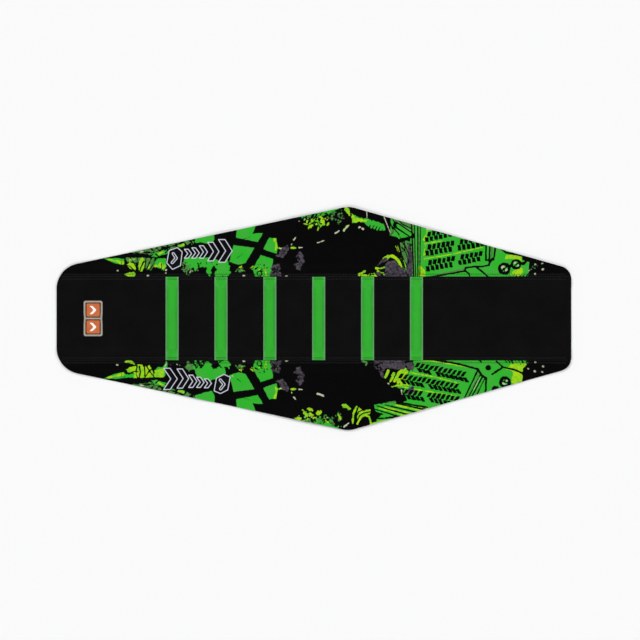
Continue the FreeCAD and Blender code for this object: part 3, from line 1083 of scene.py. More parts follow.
@dataclass
class SidePrint:
    """The print of one side panel: inks laid shape by shape over the panel's points.

    In patch, brush and blot, edge is how far the shape's edge wanders in millimetres, the size of that
    wander, and the seed that sets where it goes.
    """

    points: Array
    far: float = 8.0
    plates: dict[Ink, Array] = field(init=False)

    def __post_init__(self) -> None:
        """Starts every ink's plate empty."""
        self.x = self.points[:, 0]
        self.v = np.abs(self.points[:, 1]) - SEAM.offset
        self.plates = {ink: np.full(len(self.points), self.far) for ink in Ink}

    def lay(
        self, ink: Ink, shapes: Iterable[Shape], rag: float = 0.0, cell: float = 5.0, seed: int = 1,
        out: bool = False
    ) -> None:
        """Adds shapes to an ink, or takes them out of it.

        Args:
            ink: the ink.
            shapes: what is printed.
            rag: how far the edges wander, in millimetres.
            cell: the size of that wander.
            seed: sets where it goes.
            out: whether the shapes are taken out.
        """
        plate = self.plates[ink]
        for shape in shapes:
            distance = shape.distance(self.x, self.v)
            near = np.flatnonzero(distance < self.far)
            distance, x, v = distance[near], self.x[near], self.v[near]
            if rag:
                coarse, fine = Rag(cell, seed).at(x, v), Rag(cell / 2.6, seed + 1).at(x, v)
                distance = distance + rag * coarse + 0.5 * rag * fine
            plate[near] = np.maximum(plate[near], -distance) if out else np.minimum(plate[near], distance)

    def patch(self, ink: Ink, outlines: str, *edge: float) -> None:
        """Prints straight-sided patches from their drawn outlines, with a bar between outlines."""
        self.lay(ink, [Patch(numbers(outline)) for outline in outlines.split("|")], *edge)

    def brush(self, ink: Ink, start: float, end: float, lines: str, *edge: float) -> None:
        """Prints brush strokes along drawn lines, from one width to another, with a bar between lines."""
        self.lay(ink, [Stroke(numbers(line), start, end) for line in lines.split("|")], *edge)

    def blot(self, ink: Ink, ovals: str, *edge: float) -> None:
        """Prints oval blots, each drawn as the numbers of a Blot."""
        self.lay(ink, [Blot(*oval) for oval in numbers(ovals)], *edge)

    def spatter(
        self, ink: Ink, centre: Point, reach: Point, count: int, size: Point, seed: int, slant: float = 20.0
    ) -> None:
        """Throws small ragged blots round a point.

        Args:
            ink: the ink.
            centre: the middle of the spatter.
            reach: how far it spreads along x and v.
            count: how many blots there are.
            size: the smallest and largest half length of a blot.
            seed: sets where they fall.
            slant: the direction that most of them are stretched in, in degrees.
        """
        random = np.random.default_rng(seed)
        for _ in range(count):
            x = centre[0] + reach[0] * random.normal(0.0, 0.5)
            v = centre[1] + reach[1] * random.normal(0.0, 0.5)
            long = random.uniform(*size)
            wide, turn = long * random.uniform(0.3, 0.75), slant + random.normal(0.0, 28.0)
            self.lay(ink, (Blot(x, v, long, wide, turn),), 0.28 * long, 1.9, seed)

    def dot(self, spots: str) -> None:
        """Prints pale dots with dark middles.

        Args:
            spots: the centre and size of each.
        """
        for x, v, size in numbers(spots):
            self.lay(CREAM, (Blot(x, v, size, size * 0.78, 20.0),), 0.2, 1.5)
            self.lay(CREAM, (Blot(x + 0.3, v - 0.2, size * 0.35, size * 0.25),), out=True)

    def print_on(self, made: Piece) -> None:
        """Prints every region, from the labelled end to the plain one, and stores the plates on the panel.

        Args:
            made: the panel.
        """
        self.wedge()
        self.leaves()
        self.growth()
        self.field()
        self.banner()
        self.shards()
        self.scuffs()
        self.edge_marks()
        self.facets()
        self.tread()
        self.frames()
        self.studs()
        for ink, plate in self.plates.items():
            write_attribute(made, ink.layer, np.clip(plate, -self.far, self.far))
        LOG.info("printed %s", made.name)

    def plate(self, outline: str, arrow: str) -> None:
        """Prints the banner's six-sided plate, with a pale arrowhead.

        Args:
            outline: the plate's corners.
            arrow: the arrowhead's line.
        """
        self.patch(BLACK, outline)
        self.patch(BADGE, outline)
        self.lay(BADGE, (Stroke(numbers(arrow), 3.0, 3.0),), out=True)

    def chevron(self, x: float, v: float, tall: float, thick: float, point: float) -> None:
        """Prints one outlined black chevron that points along the cover.

        Args:
            x: its middle along the cover.
            v: its middle outward.
            tall: its height.
            thick: how thick its arms are, measured along the cover.
            point: how far its tip stands ahead of its arms' ends.
        """
        back, half = x - (point + thick) / 2.0, tall / 2.0
        front = back + thick
        arms = ((back, v - half), (front, v - half), (front + point, v), (front, v + half), (back, v + half))
        for ink in (BLACK, BADGE):
            self.lay(ink, (Patch((*arms, (back + point, v))),))

    def teeth(self, line: Point, heights: Point, widths: Point, step: float, seed: int) -> None:
        """Prints ragged black teeth that rise from the seam.

        Args:
            line: where they start and stop along the cover.
            heights: their smallest and largest height.
            widths: their smallest and largest width at the foot.
            step: their mean distance apart.
            seed: sets where they fall.
        """
        random = np.random.default_rng(seed)
        x, foot = line[0], -4.0
        while x < line[1]:
            rise = heights[0] + (heights[1] - heights[0]) * random.random() ** 1.6
            width, drift = random.uniform(*widths), random.normal(0.0, 1.4)
            spine = ((x, foot), (x + drift * 0.6, foot + rise * 0.6), (x + drift, foot + rise))
            self.lay(BLACK, (Stroke(spine, width, 0.3 * width),), 1.3, 2.4, seed + 1)
            x += step * random.uniform(0.5, 1.6)

    def blocks(self, start: Point, stop: Point, height: Point, gap: Point, lean: float, seed: int) -> None:
        """Prints one row of tyre tread: two staggered lines of slanted blocks that lean against each other.

        Args:
            start: the middle of the row's near end.
            stop: the middle of its far end.
            height: the row's height at either end.
            gap: a stretch of x without blocks.
            lean: how far a block's far end stands ahead of its near one.
            seed: sets the blocks' small differences.
        """
        random = np.random.default_rng(seed)
        slope = (stop[1] - start[1]) / (stop[0] - start[0])
        pitch, width, split = 6.7, 5.3, 0.5
        for line, shift in ((-1, 0.0), (1, pitch / 2.0)):
            for x in np.arange(start[0] + shift, stop[0], pitch):
                if gap[0] < x < gap[1]:
                    continue
                share = (x - start[0]) / (stop[0] - start[0])
                tall = height[0] + (height[1] - height[0]) * share
                inner = start[1] + slope * (x - start[0]) + line * split / 2.0
                outer = inner + line * (tall / 2.0 - split / 2.0) * random.uniform(0.9, 1.04)
                half, near, far = width / 2.0 * random.uniform(0.9, 1.06), x + lean / 2.0, x - lean / 2.0
                block = ((near - half, inner), (near + half, inner), (far + half, outer), (far - half, outer))
                self.lay(BLACK, (Patch(block),), 0.35, 2.2, seed)

    def wedge(self) -> None:
        """Prints the pointed green wedge near the labelled end."""
        self.patch(GREEN, "-306,26.4 -294,21.5 -285,18.5 -276.4,17.2 -276.2,25.6 -290,26.8", 0.6)
        self.patch(LIME, "-304,26.4 -295,22.6 -284,19.2 -277,18 -277,21.6 -290,24.8", 1.1, 3.4)
        self.brush(BLACK, 1, 0.5, "-281,16 -279.5,27")

    def leaves(self) -> None:
        """Prints the leaves and the black veins between them."""

    def growth(self) -> None:
        """Prints the dull green growth along the outer edge, broken by black twigs."""
        self.patch(
            MOSS, "-272,38 -262,32.5 -248,35 -238,31.5 -224,38 -212,42 -196,43.5 -174,49 -174,70 -272,44",
            1.8, 7, 15
        )
        self.patch(
            GREEN, "-238,28.5 -228,28.4 -214,33 -206,42 -212,47 -232,37 | -262,36 -248,34.5 -240,38 "
            "-240,45 -264,42 | -205,42 -192,43 -184,47 -184,58 -202,52", 1.2, 5, 18
        )
        self.blot(LIME, "-192.5,45.6,4.4,1.8,14 -224,33.6,4,1.4,24", 0.9, 3)
        self.brush(LIME, 1.6, 0.9, "-270,36.5 -256,38.5", 0.5, 3)
        self.brush(
            BLACK, 1.4, 2.6, "-268,32.6 -252,36.4 -236,34.5 -220,39.6 -206,44.6 -190,50 | -252,42 -244,33 "
            "-237,27 | -240,44 -232,35 -226,29 | -226,46 -214,40 -206,34 | -206,52 -200,46 -196,38 | "
            "-196,55 -188,48 -182,41 | -186,58 -178,50 -174,42 | -216,48 -210,41 -216,35", 0.9, 3.4, 21
        )
        self.spatter(BLACK, (-226, 40), (26, 5), 24, (0.8, 2.4), 22, 14)
        self.blot(CREAM, "-250.5,36.4,3.2,1.2,12", 0.3)

    def field(self) -> None:
        """Prints the green field under the banner, which drips towards the seam between black teeth."""

    def banner(self) -> None:
        """Prints the banner."""

    def shards(self) -> None:
        """Prints broken green tiles past the banner, parted by straight black gaps of about one width."""
        self.patch(
            GREEN, "-112.5,70 -114,57 -81,50.5 -76,58 -71.4,61.6 -72,64 -89.4,62.2 -85,74 -112,74 | "
            "-117,46 -83.5,41.5 -94.6,21.5 -110,17 -123,21.6 | -74,40 -64.9,57.4 -61,56 -54.6,56 "
            "-52.8,41.6 -54.5,33.5 | -77.5,31.5 -59.5,25.5 -61,12 -65,-3 -84,-3 -89,10 -87.5,15", 0.45, 3,
            42
        )
        self.patch(LIME, "-61,56 -54.6,56.4 -52.8,41.6 -56,38 -56.6,49", 1.2, 3, 45)
        self.brush(BLACK, 9.6, 9, "-97.6,14 -69.8,62", 0.35, 2.6)
        self.brush(BLACK, 1, 0.5, "-104,54 -92,58 | -70,8 -74,18 | -112,27 -104,33")
        self.spatter(BLACK, (-76, 13), (9, 8), 12, (0.6, 2.2), 46)
        self.patch(GREEN, "-129,9 -124,12 -121,6 -125,0 -129,-2", 1.5, 3, 48)
        self.spatter(MOSS, (-108, 9), (11, 5), 14, (0.8, 2.4), 49)
        self.spatter(LIME, (-88, 13), (6, 4), 9, (0.8, 2.2), 52)
        self.spatter(LIME, (-106, 12.5), (3, 2), 4, (0.9, 1.9), 55)
        self.brush(LIME, 2.8, 1.6, "-70.6,11 -69.5,0", 0.9, 2.6)
        self.lay(BLACK, (Ring(-79.5, 4.5, 3.4, 1.6),), 0.4, 2)
        self.dot("-102.2,1,1.9 -40,0.2,2.1")

    def scuffs(self) -> None:
        """Prints the grey-purple rubbed patches and the pale dashes round them."""
        self.patch(PLUM, "-55,31 -46,25 -41,31 -36,41 -37.5,46 -45,44 -48,37", 1.7, 3, 58)
        self.patch(PLUM, "-65,2 -61,17 -50,18 -47,9 -48,0.5", 1.7, 3, 61)
        self.patch(PLUM, "-28.6,17 -22,21 -26,29 -21,35.5 -15.5,30 -14.8,21 -20,10.5 -25,9.5", 1.7, 3, 64)
        self.spatter(BLACK, (-55.5, 10), (8, 6), 20, (0.7, 2.6), 62)
        self.spatter(BLACK, (-22, 23), (5, 11), 11, (0.7, 2.4), 65, 60)
        self.spatter(BLACK, (-44, 36), (6, 9), 8, (0.6, 2), 60, 60)
        self.spatter(CREAM, (-55.5, 9), (8, 5), 6, (0.4, 0.9), 63)
        self.brush(CREAM, 2, 1.2, "-29.5,53.5 -26,57.6 | -21.5,42.2 -16.5,42.8", 0.4, 2)
        self.brush(CREAM, 1.4, 0.9, "4.8,49.4 9,50.2 | 9.6,50.8 14.8,52.6", 0.3, 2)
        self.blot(CREAM, "-32.4,47,1.5,0.8,70 -48.5,41,1.2,0.8")
        self.brush(LIME, 2.8, 1.8, "-50.5,41.4 -47,40.4 | -32.6,42.6 -26.5,41.6", 0.8, 2.2)

    def edge_marks(self) -> None:
        """Prints the spatter and the brush strokes along the widest part of the outer edge."""
        self.patch(GREEN, "-20,86 -8,86.5 10,89 26,92.6 38,97 38,106 -20,92", 3.4, 2.4, 66)
        self.spatter(MOSS, (8, 89), (28, 7), 34, (0.8, 2.6), 65, 16)
        self.spatter(CREAM, (2, 80), (24, 7), 9, (0.6, 1.3), 72)

    def facets(self) -> None:
        """Prints the outlined facets before the tread rows."""

    def tread(self) -> None:
        """Prints rows of slanted black tyre-tread blocks on green."""

    def frames(self) -> None:
        """Prints the black frame lines past the tread rows."""

    def studs(self) -> None:
        """Prints the round black studs, and the dots that die out towards the plain end."""


class LeftPrint(SidePrint):
    """The print of the left side panel."""

    def leaves(self) -> None:
        """Prints leaves that fan out from one stem."""
        self.patch(
            LIME, "-273,17 -268,20.6 -260,19 -258.5,13 -261,9.5 -268,11.5 | -276,3.5 -270,0.6 -262,-1 "
            "-259.8,4.6 -263,7 -270,5.6", 0.9, 3.4, 4
        )
        self.patch(
            MOSS, "-274,27.4 -232,27.4 -233,15 -238,9 -245,9.6 -247,21 -258,20.6 -272,21.2", 0.9, 3.2, 6
        )
        self.blot(LIME, "-251.2,17.2,9.8,4.9,84 -266.4,24.4,4.2,1.6,10", 0.9, 3)
        self.blot(LIME, "-240.6,14,3.4,1.5,70", 0.8, 2.6)
        self.patch(GREEN, "-234.5,17 -230,26.6 -214.5,27 -215.4,15 -219,9.5 -224,12 -229,13.6", 0.9, 5, 9)
        self.patch(LIME, "-232,14.6 -224,20 -216.5,16.5 -218.6,10 -224,12.4", 1.6, 3.4, 12)
        self.brush(
            BLACK, 2.6, 0.9, "-254,3 -258,12 -262.5,20 -268,28 | -254,3 -257.6,14 -257.4,27 | -252,2 "
            "-246.6,12 -244.6,28 | -252,2 -243,12 -236,29 | -250,3 -238,12 -227,29 | -262,9 -268,15 "
            "-277,18 | -248,22 -252,14 -253.5,8 | -224,8 -221.6,14 -222.6,20", 0.4, 3
        )
        self.dot("-285.8,8.7,1.6 -241.8,1.5,1.8")

    def field(self) -> None:
        """Prints the green field under the banner, with two drips that reach the seam."""
        self.patch(
            GREEN, "-190,27 -174,30 -150,27 -134,22 -126,24 -122,13 -124,7 -126.5,-4 -143,-4 -143.6,5 "
            "-140,10.5 -146,17 -149.4,12 -150.4,2 -152.6,-3 -155.4,4 -157,12.6 -162,15 -168,12.6 "
            "-172.4,8.4 -176,13 -181,9 -184,2.6 -187,10 -190,20", 1.4, 3, 24
        )
        self.patch(MOSS, "-191,22 -184,19 -179,11 -177,6 -183,2 -192,12", 2.4, 2.6, 30)
        self.spatter(BLACK, (-183, 12), (9, 10), 16, (0.7, 2.4), 35, 75)
        self.teeth((-188, -158), (6, 15), (2.2, 4.6), 4.8, 27)
        self.teeth((-146, -126), (3, 10), (2, 4.4), 5.6, 28)
        self.spatter(BLACK, (-164, 18), (22, 6), 20, (0.6, 2), 29, 80)
        self.patch(BLACK, "-214,9 -203,12 -192,10 -189,0 -196,-6 -216,-6", 1.4, 5, 33)
        self.blot(CREAM, "-215.4,9.6,1.7,1.3,60 -215.9,5.2,1.2,0.8")
        self.spatter(CREAM, (-178, 7), (10, 4), 9, (0.5, 1.2), 31, 80)
        self.patch(GREEN, "-178,47 -166,50 -149,47 -143.5,55 -145.5,75 -182,70", 0.9, 5, 36)
        self.brush(BLACK, 4.5, 2, "-182,62 -176,55 -172,46", 1.4, 3, 39)
        self.patch(BLACK, "-144,44 -145.5,58 -143,80 -112,90 -113.5,50", 0.4)

    def banner(self) -> None:
        """Prints the plate, and chevrons that grow past it."""
        self.plate(
            "-214.5,20 -211,38 -199,42.4 -192,36 -194.5,16 -206,10.6", "-206.5,20.5 -200.6,27 -205,33.5"
        )
        self.chevron(-183.5, 33.5, 13, 5.6, 5)
        self.chevron(-172.5, 34.5, 15, 5.6, 5.5)
        self.chevron(-161, 36, 18, 6, 6)
        self.chevron(-146.5, 36.5, 27, 8, 8.5)
        self.chevron(-129, 37.5, 33, 9.5, 10.5)

    def edge_marks(self) -> None:
        """Prints lime clusters on the edge, a flat lime brush stroke and the green comb that it runs into."""
        super().edge_marks()
        self.spatter(GREEN, (4, 83), (20, 6), 20, (1, 3.2), 67, 14)
        self.spatter(LIME, (-6, 80.5), (8, 7), 24, (0.9, 3), 68, 34)
        self.spatter(LIME, (11, 82), (9, 8), 24, (0.9, 3.2), 69, 52)
        self.spatter(BLACK, (8, 89), (28, 7), 56, (0.8, 2.8), 70, 30)
        self.spatter(BLACK, (2, 81), (18, 7), 26, (0.7, 2), 71, -30)
        self.blot(LIME, "48.4,97,5,2.8,112 51.5,90.6,2.8,1.4,95", 0.9, 2.6)
        self.spatter(MOSS, (34, 87), (9, 8), 16, (0.9, 2.4), 73)
        self.blot(PLUM, "34.5,88,2.8,1.4,25 42,84.5,2.4,1,20", 0.7, 2)
        self.patch(GREEN, "56,78 56,91 66,85.5 79,84 103,76 104.5,67 92,67.5 80,72 74,79 64,79.5", 1, 3, 75)
        self.patch(LIME, "55.6,78.2 55.4,92 60,86 68,84 79,83.6 78,79.4 66,80", 1.2, 3, 76)
        for n in range(6):
            self.brush(BLACK, 3, 0.6, f"{78 + 4.6 * n},{66 - 0.7 * n} {83 + 4.6 * n},{76 - 1.3 * n}", 0.6)
        self.brush(CREAM, 1.3, 1, "77,96 77.4,85.5 | 102.2,87 111.4,64")
        self.brush(CREAM, 2.4, 1.5, "31,63.4 37,66.8 | 44,68 50.6,74.6", 0.5, 2)
        self.brush(LIME, 3.2, 1.8, "43.4,67.4 50.6,74.8", 0.8, 2.2)
        self.blot(CREAM, "66.4,72,2,1.5,30 71.2,69.6,2,1.4,150", 0.3, 2)
        self.brush(PLUM, 1.6, 4.4, "93,16.5 98,21.5 104.5,25.6", 0.8, 3)
        self.patch(PLUM, "103.4,-3 103.4,16 108,22 117,23.5 125,17 134,6 137,-3", 0.8, 3)
        self.brush(LIME, 5.2, 2.4, "103.6,25.4 109,29.6 116,29.6 122.5,24 128.4,14", 1, 2.8)
        self.brush(LIME, 3.4, 1.8, "66,2.6 77,9.8 | 91,11.5 102.5,13 | 93,8 98,5.5 103,4", 1.2, 2.4)
        self.patch(LIME, "68,-3 70,3.6 80,2.2 88,6.4 91,3 93,-3", 1.6, 2.6, 79)
        self.blot(PLUM, "94.5,4.5,4,3.2", 1.4, 2.6)
        self.spatter(BLACK, (90, 6), (12, 6), 16, (0.7, 2.2), 80)

    def facets(self) -> None:
        """Prints facets, a slanted light bar and the upright stripes that narrow towards the seam."""
        self.patch(
            GREEN, "111,60.5 112,84 160,84 160,20 150,-3 137,-3 133,20 126,40 127,52 121,57.5", 0.4, 3
        )
        self.patch(
            MOSS, "126,53.5 133.5,54 140,46 139,20 133,4 126,30 | 115,78 119.5,84 131,81 141,77 142,68 "
            "132,73 122,78 | 111,66 118,72 116,62 111,60", 0.9, 3.4, 82
        )
        self.patch(BLACK, "122,55 139.5,57.6 140,50.5 134,53.5 127,50", 0.8)
        self.brush(BLACK, 9, 8, "119.5,75.5 143.5,59.5")
        self.lay(BLACK, (Stroke(numbers("122,74.2 140.5,61.6"), 4.4, 4.6),), out=True)
        self.brush(
            BLACK, 1.9, 1.2, "110,82 116,66 111,59 | 115,84 122,71 | 112,75 123,63 128,52 | 119,88 128,77 "
            "142,70 | 126,53 133,45 139.6,30 | 128,43 134.6,34 138.6,18 | 125,36 131,20 134,4 | 131.4,53 "
            "133,38 | 118.5,50 128,24 138,-3 | 124,47 127.5,33 136,14", 0.4, 2.6
        )
        stripes = numbers("142,145.6,2.2 146.4,148.4,1.5 151.2,151.6,1.9 155.6,154.2,1.4")
        for top, foot, width in stripes:
            self.brush(BLACK, width, width, f"{top},86 {foot},-3")
        self.brush(MOSS, 2.2, 1.6, "144.4,86 147.6,4 | 153.4,86 152.8,20")
        self.patch(PLUM, "137,50 141.6,50 144,20 144,2 140,-3 133,-3 136,20", 1, 3)
        self.brush(LIME, 2.8, 1.8, "120,45 126.4,31 134,15 | 119.5,28 126.5,14", 0.7, 2.4)
        self.patch(LIME, "153.4,17 159.5,13 163,4 163,-3 152.6,-3", 1.1, 3, 85)
        self.spatter(BLACK, (133, 38), (6, 12), 12, (0.6, 1.8), 86, 70)

    def tread(self) -> None:
        """Prints the green block with its three rows of tread, and the lime line between two of them."""
        self.patch(GREEN, "156,-3 156,90 250,60 313,34 313.5,12 311,-3", 0.5, 4)
        self.brush(LIME, 1.9, 1.4, "161,26 200,32.4 246,43 | 161,48 186,52", 0.5, 2.6)
        self.brush(LIME, 3.4, 1.4, "161,54 166,68 | 160.5,32 162.6,45", 1, 3)
        self.brush(MOSS, 3, 5.5, "188,4 218,9.5", 0.9, 3)
        self.blocks((166, 15.6), (245, 30.2), (16.6, 15.4), (206, 211), -1.2, 87)
        self.blocks((165, 38.4), (250, 52.6), (17.4, 16.4), (204.5, 209.5), -1, 88)
        self.blocks((164.5, 57.6), (204, 65.4), (13.6, 13), (0, 0), -0.8, 89)
        self.brush(CREAM, 1.8, 1.2, "164,69.2 172,67.8", 0.4, 2)

    def frames(self) -> None:
        """Prints the frame's bent lines, the upright outlined bar and the wavy lines at the seam."""
        self.brush(
            BLACK, 2.6, 2.6, "164,-1.5 200,4.6 220,8.2 221,13 233,14.4 245,14.6 255.4,17 256.4,45 | "
            "250.8,46 250.6,24 262,24.4 264.6,44", 0.3, 3
        )
        self.brush(BLACK, 2.6, 2, "220.6,8.6 226,4 228,-3 | 237,13.6 248,5 256.5,-3", 0.3)
        self.brush(BLACK, 2.6, 3.4, "272,41 280,35 292,33 303,31 | 255,18 260,26", 0.3)
        self.brush(MOSS, 3, 3, "259.4,44 259.2,28")
        self.brush(BLACK, 1.6, 1.6, "244,62 244,50")
        self.patch(BLACK, "303.5,32 303.5,24 314,21 320,40", 0.4)

    def studs(self) -> None:
        """Prints two linked studs with pale middles, on lime."""
        self.patch(LIME, "279,26 281,32 303,31 303.4,22 293,25 286,26", 0.9, 3)
        self.patch(LIME, "287,3 291,10 302,13 306,7 300,1.6", 1.6, 3, 92)
        self.lay(BLACK, (Ring(277.4, 11.6, 7, 4.6), Ring(294.6, 18, 5.8, 4)), 0.6, 2.6)
        self.brush(BLACK, 5, 2, "301,19 306,19 312,25 | 285,15 289,18", 0.6, 2.4)
        self.brush(BLACK, 2.2, 1.8, "272,7 283,16 | 291,14.5 299,21 | 279,7 276,12", 0.5, 2)
        self.blot(CREAM, "274.8,13.8,2.6,1.7,40 280.4,9.6,2,1.4,40", 0.3, 1.6)
        self.blot(CREAM, "292.8,20.2,2,1.2,35 297.2,16,1.5,1.1,35", 0.3, 1.6)
        for n in range(6):
            self.brush(BLACK, 3.4, 0.6, f"{283 + 5 * n},-3 {287 + 5 * n},{2 + n % 3}", 0.6)
        self.dot("322.6,17.4,1.6 333.6,10.6,1.9 322.2,4,1.7 332.8,19.2,1.3 313.8,8.6,1.4")
        self.spatter(MOSS, (318, 12), (12, 9), 12, (0.5, 1.2), 91)


class RightPrint(SidePrint):
    """The print of the right side panel, which mirrors the left one as far as the widest part."""

    def leaves(self) -> None:
        """Prints leaves, the last of them drawn out towards the seam."""
        self.patch(
            LIME, "-274.5,13 -266,9.5 -259,8.5 -259.4,15 -262,18.4 -270,17 | -257.6,6 -250,5.4 -247,13 "
            "-248.6,25 -257,25.4 -258.8,16 | -277,1.6 -270,-0.6 -262,2.2 -260,6.6 -266,5 | -263,19 -258,12 "
            "-246,8 -238,12 -233,17 -219,13 -218,24.6 -262,25.4", 0.9, 3.4, 4
        )
        self.patch(GREEN, "-276,19.6 -262,20 -262,25.6 -276,25", 0.9, 3)
        self.patch(LIME, "-246.4,24 -245.6,10 -239,7.6 -231.6,24.4", 1, 3)
        self.patch(GREEN, "-234,16 -226,9.6 -220,10.6 -215.4,1 -213.4,4 -216.8,24 -229,25", 0.8, 5, 9)
        self.patch(LIME, "-233,17 -225,11 -219.4,12 -218.6,20 -228,23.6", 1.6, 3.4, 12)
        self.brush(
            BLACK, 2.4, 1.2, "-263,1 -257.4,8 -259.4,16 -257,27 | -251,3 -246.6,9 -246,26 | -247,4 -239,16 "
            "-231,27 | -230,8 -240.6,16 -246,25 | -254,9 -253,18 -255,26 | -270,20 -262,16 -256,17 | "
            "-236,10 -233,18 -234,26", 0.5, 2.6
        )
        self.brush(CREAM, 1.4, 0.8, "-217,9 -214.4,2.4")
        self.dot("-286.6,6.6,1.7")

    def field(self) -> None:
        """Prints the green field beside the banner, whose top edge drips towards the seam in two peaks."""
        self.patch(
            GREEN, "-182,9 -177,5 -172,12 -168,9.6 -163,12 -159.4,8 -156.6,1 -153,1 -150,6 -147,12.6 "
            "-142,13 -138,8.6 -133,12 -129,10 -129,20 -134,26 -145,27 -152,30 -160,28.6 -170,25 -174,15",
            1.3, 3, 24
        )
        self.patch(GREEN, "-139,-3 -138,6 -131,12 -127,6 -127,-3", 1.4, 2.6, 25)
        self.patch(MOSS, "-188,10 -184,3 -177,5 -175,12 -182,15", 2, 2.6, 30)
        self.teeth((-150, -126), (4, 9), (2, 5), 5, 26)
        self.spatter(GREEN, (-168, 4), (14, 4), 16, (0.7, 2), 32, 80)
        self.spatter(CREAM, (-196, 6), (14, 3), 9, (0.4, 1.1), 31, 20)
        self.patch(GREEN, "-173,51 -163,48 -149,44.5 -143.6,52.5 -147,75 -176,70", 0.9, 5, 36)
        self.brush(BLACK, 5, 2.4, "-184,60 -178,53 -174,46", 1.4, 3, 39)
        self.patch(BLACK, "-145.5,44 -144.6,56 -147,80 -112,90 -113.5,50", 0.4)

    def banner(self) -> None:
        """Prints the banner the other way round: its chevrons shrink towards the plate."""
        self.chevron(-209, 27, 31, 9.5, 10.5)
        self.chevron(-191, 26.5, 28, 8, 9)
        self.chevron(-176.5, 30.5, 18, 6, 6)
        self.chevron(-165.5, 32, 15, 5.6, 5.5)
        self.chevron(-154.5, 33.5, 13, 5.6, 5)
        self.plate(
            "-145.5,44.5 -142,26 -131,20.4 -122,24.5 -125.5,43 -136,48.4", "-136.5,28.5 -131,35 -136,41.5"
        )
        self.dot("-118.6,22.6,1.6")

    def edge_marks(self) -> None:
        """Prints lime spatter on the edge and the lime arcs round a dark stud."""
        super().edge_marks()
        self.spatter(GREEN, (12, 89), (22, 6), 26, (1.2, 4), 67, -34)
        self.spatter(LIME, (-7, 80), (9, 8), 24, (0.9, 3.2), 68, -36)
        self.blot(LIME, "7.3,76.8,4.4,3.4,-35 -22.6,85.4,4.8,2.8,10", 1.2, 2.6)
        self.brush(LIME, 2, 4.8, "-16,73 -8,82 -2,86", 1.4, 2.4)
        self.brush(LIME, 1.6, 3, "35,78 38.5,86 | 12,82 20,90", 1, 2.4)
        self.spatter(BLACK, (6, 87), (26, 8), 60, (0.8, 2.8), 70, -38)
        self.patch(LIME, "41,62 50,65 53,70 50,74 47,71 42,68", 1.9, 2.6, 74)
        self.brush(CREAM, 2.6, 1.2, "44,97 51,91 | 4.6,48 13.6,50.6", 0.7, 2)
        self.spatter(MOSS, (34, 84), (8, 7), 12, (0.9, 2.4), 73, 60)
        self.brush(LIME, 3, 2.6, "62.4,67.4 57.6,77 56.6,91", 0.5, 2.6)
        self.patch(LIME, "65.6,69 72,73.4 83,72 82,78 72,80.6 67,88 62.4,86 63,78", 0.9, 3)
        self.brush(BLACK, 1.8, 1.8, "62,90 66.6,80.6 72,77 83,74.6 | 61,84 65,75 70,73")
        self.brush(LIME, 3, 2.4, "63.4,92 68,83 74,79.6 80.6,82 83,92", 0.4, 2.6)
        self.blot(BLACK, "74.8,90,6.4,6.4,90")
        self.blot(PLUM, "73.6,92,2,3.4,70", 0.6, 2)
        self.patch(PLUM, "88,-3 87.6,9 98,16 105,12.6 132,12.8 134,-3", 1.4, 3, 77)
        self.spatter(BLACK, (95, 7), (9, 8), 26, (0.8, 2.8), 78)
        self.spatter(MOSS, (95, 3), (7, 4), 8, (0.8, 2), 79)
        self.brush(MOSS, 2.8, 1.6, "71,0.5 77,3.4 76,8", 1, 2.4)
        self.patch(PLUM, "94.6,15 100,17.4 103.4,25.6 98,23.6", 1, 2.6)
        self.brush(LIME, 2.4, 4.8, "103.6,26 108.4,16 | 111.6,31 116.6,19", 0.8, 2.4)
        self.brush(LIME, 3, 8.2, "117.4,30.5 123,21 131,13.6", 1, 2.6)
        self.brush(LIME, 1.8, 4.6, "129,33 134.4,23 | 114,38.4 124,36.4 138,34", 0.9, 2.6)
        self.blot(CREAM, "108.6,33.8,1.6,0.9,30")
        self.brush(CREAM, 1.8, 1.2, "127.6,43 128.2,49", 0.4, 2)

    def facets(self) -> None:
        """Prints the slanted strips along the outer edge."""
        self.patch(
            GREEN, "87.6,64.6 90,74 108,80 120,92 170,92 170,60 133,57 132,52 124,60 100,63 | 91,87.5 "
            "97,79.6 108,78.6 116,82 114,92 94,94", 0.8, 3.4
        )
        self.brush(LIME, 1.8, 2.6, "104,68.4 128,74.6 152,79 | 119,65.4 144,70.6 164,74.6", 0.5, 2.6)
        self.brush(LIME, 1.2, 2.4, "96,70 122,77.6 142,84 | 128,62 150,66.6 166,71", 0.5, 2.6)
        self.brush(
            BLACK, 1.6, 2.8, "88,71 110,77.6 132,85 | 92,66.4 116,73.4 144,80.6 | 104,64.8 130,71 156,77 | "
            "119,62.6 146,68.4 168,73", 0.3, 3
        )
        self.brush(MOSS, 1.6, 2.6, "106,61.4 118,60.4", 0.5, 2.4)
        self.brush(LIME, 2.2, 1.2, "82,93.6 97,88.4 114,86", 0.6, 2.4)
        self.brush(BLACK, 2.2, 3.4, "93,85 104,84 120,82.6", 0.5, 2.4)
        self.patch(BLACK, "85,76 91,75.4 98,79.6 91,86 84,90", 1, 3)

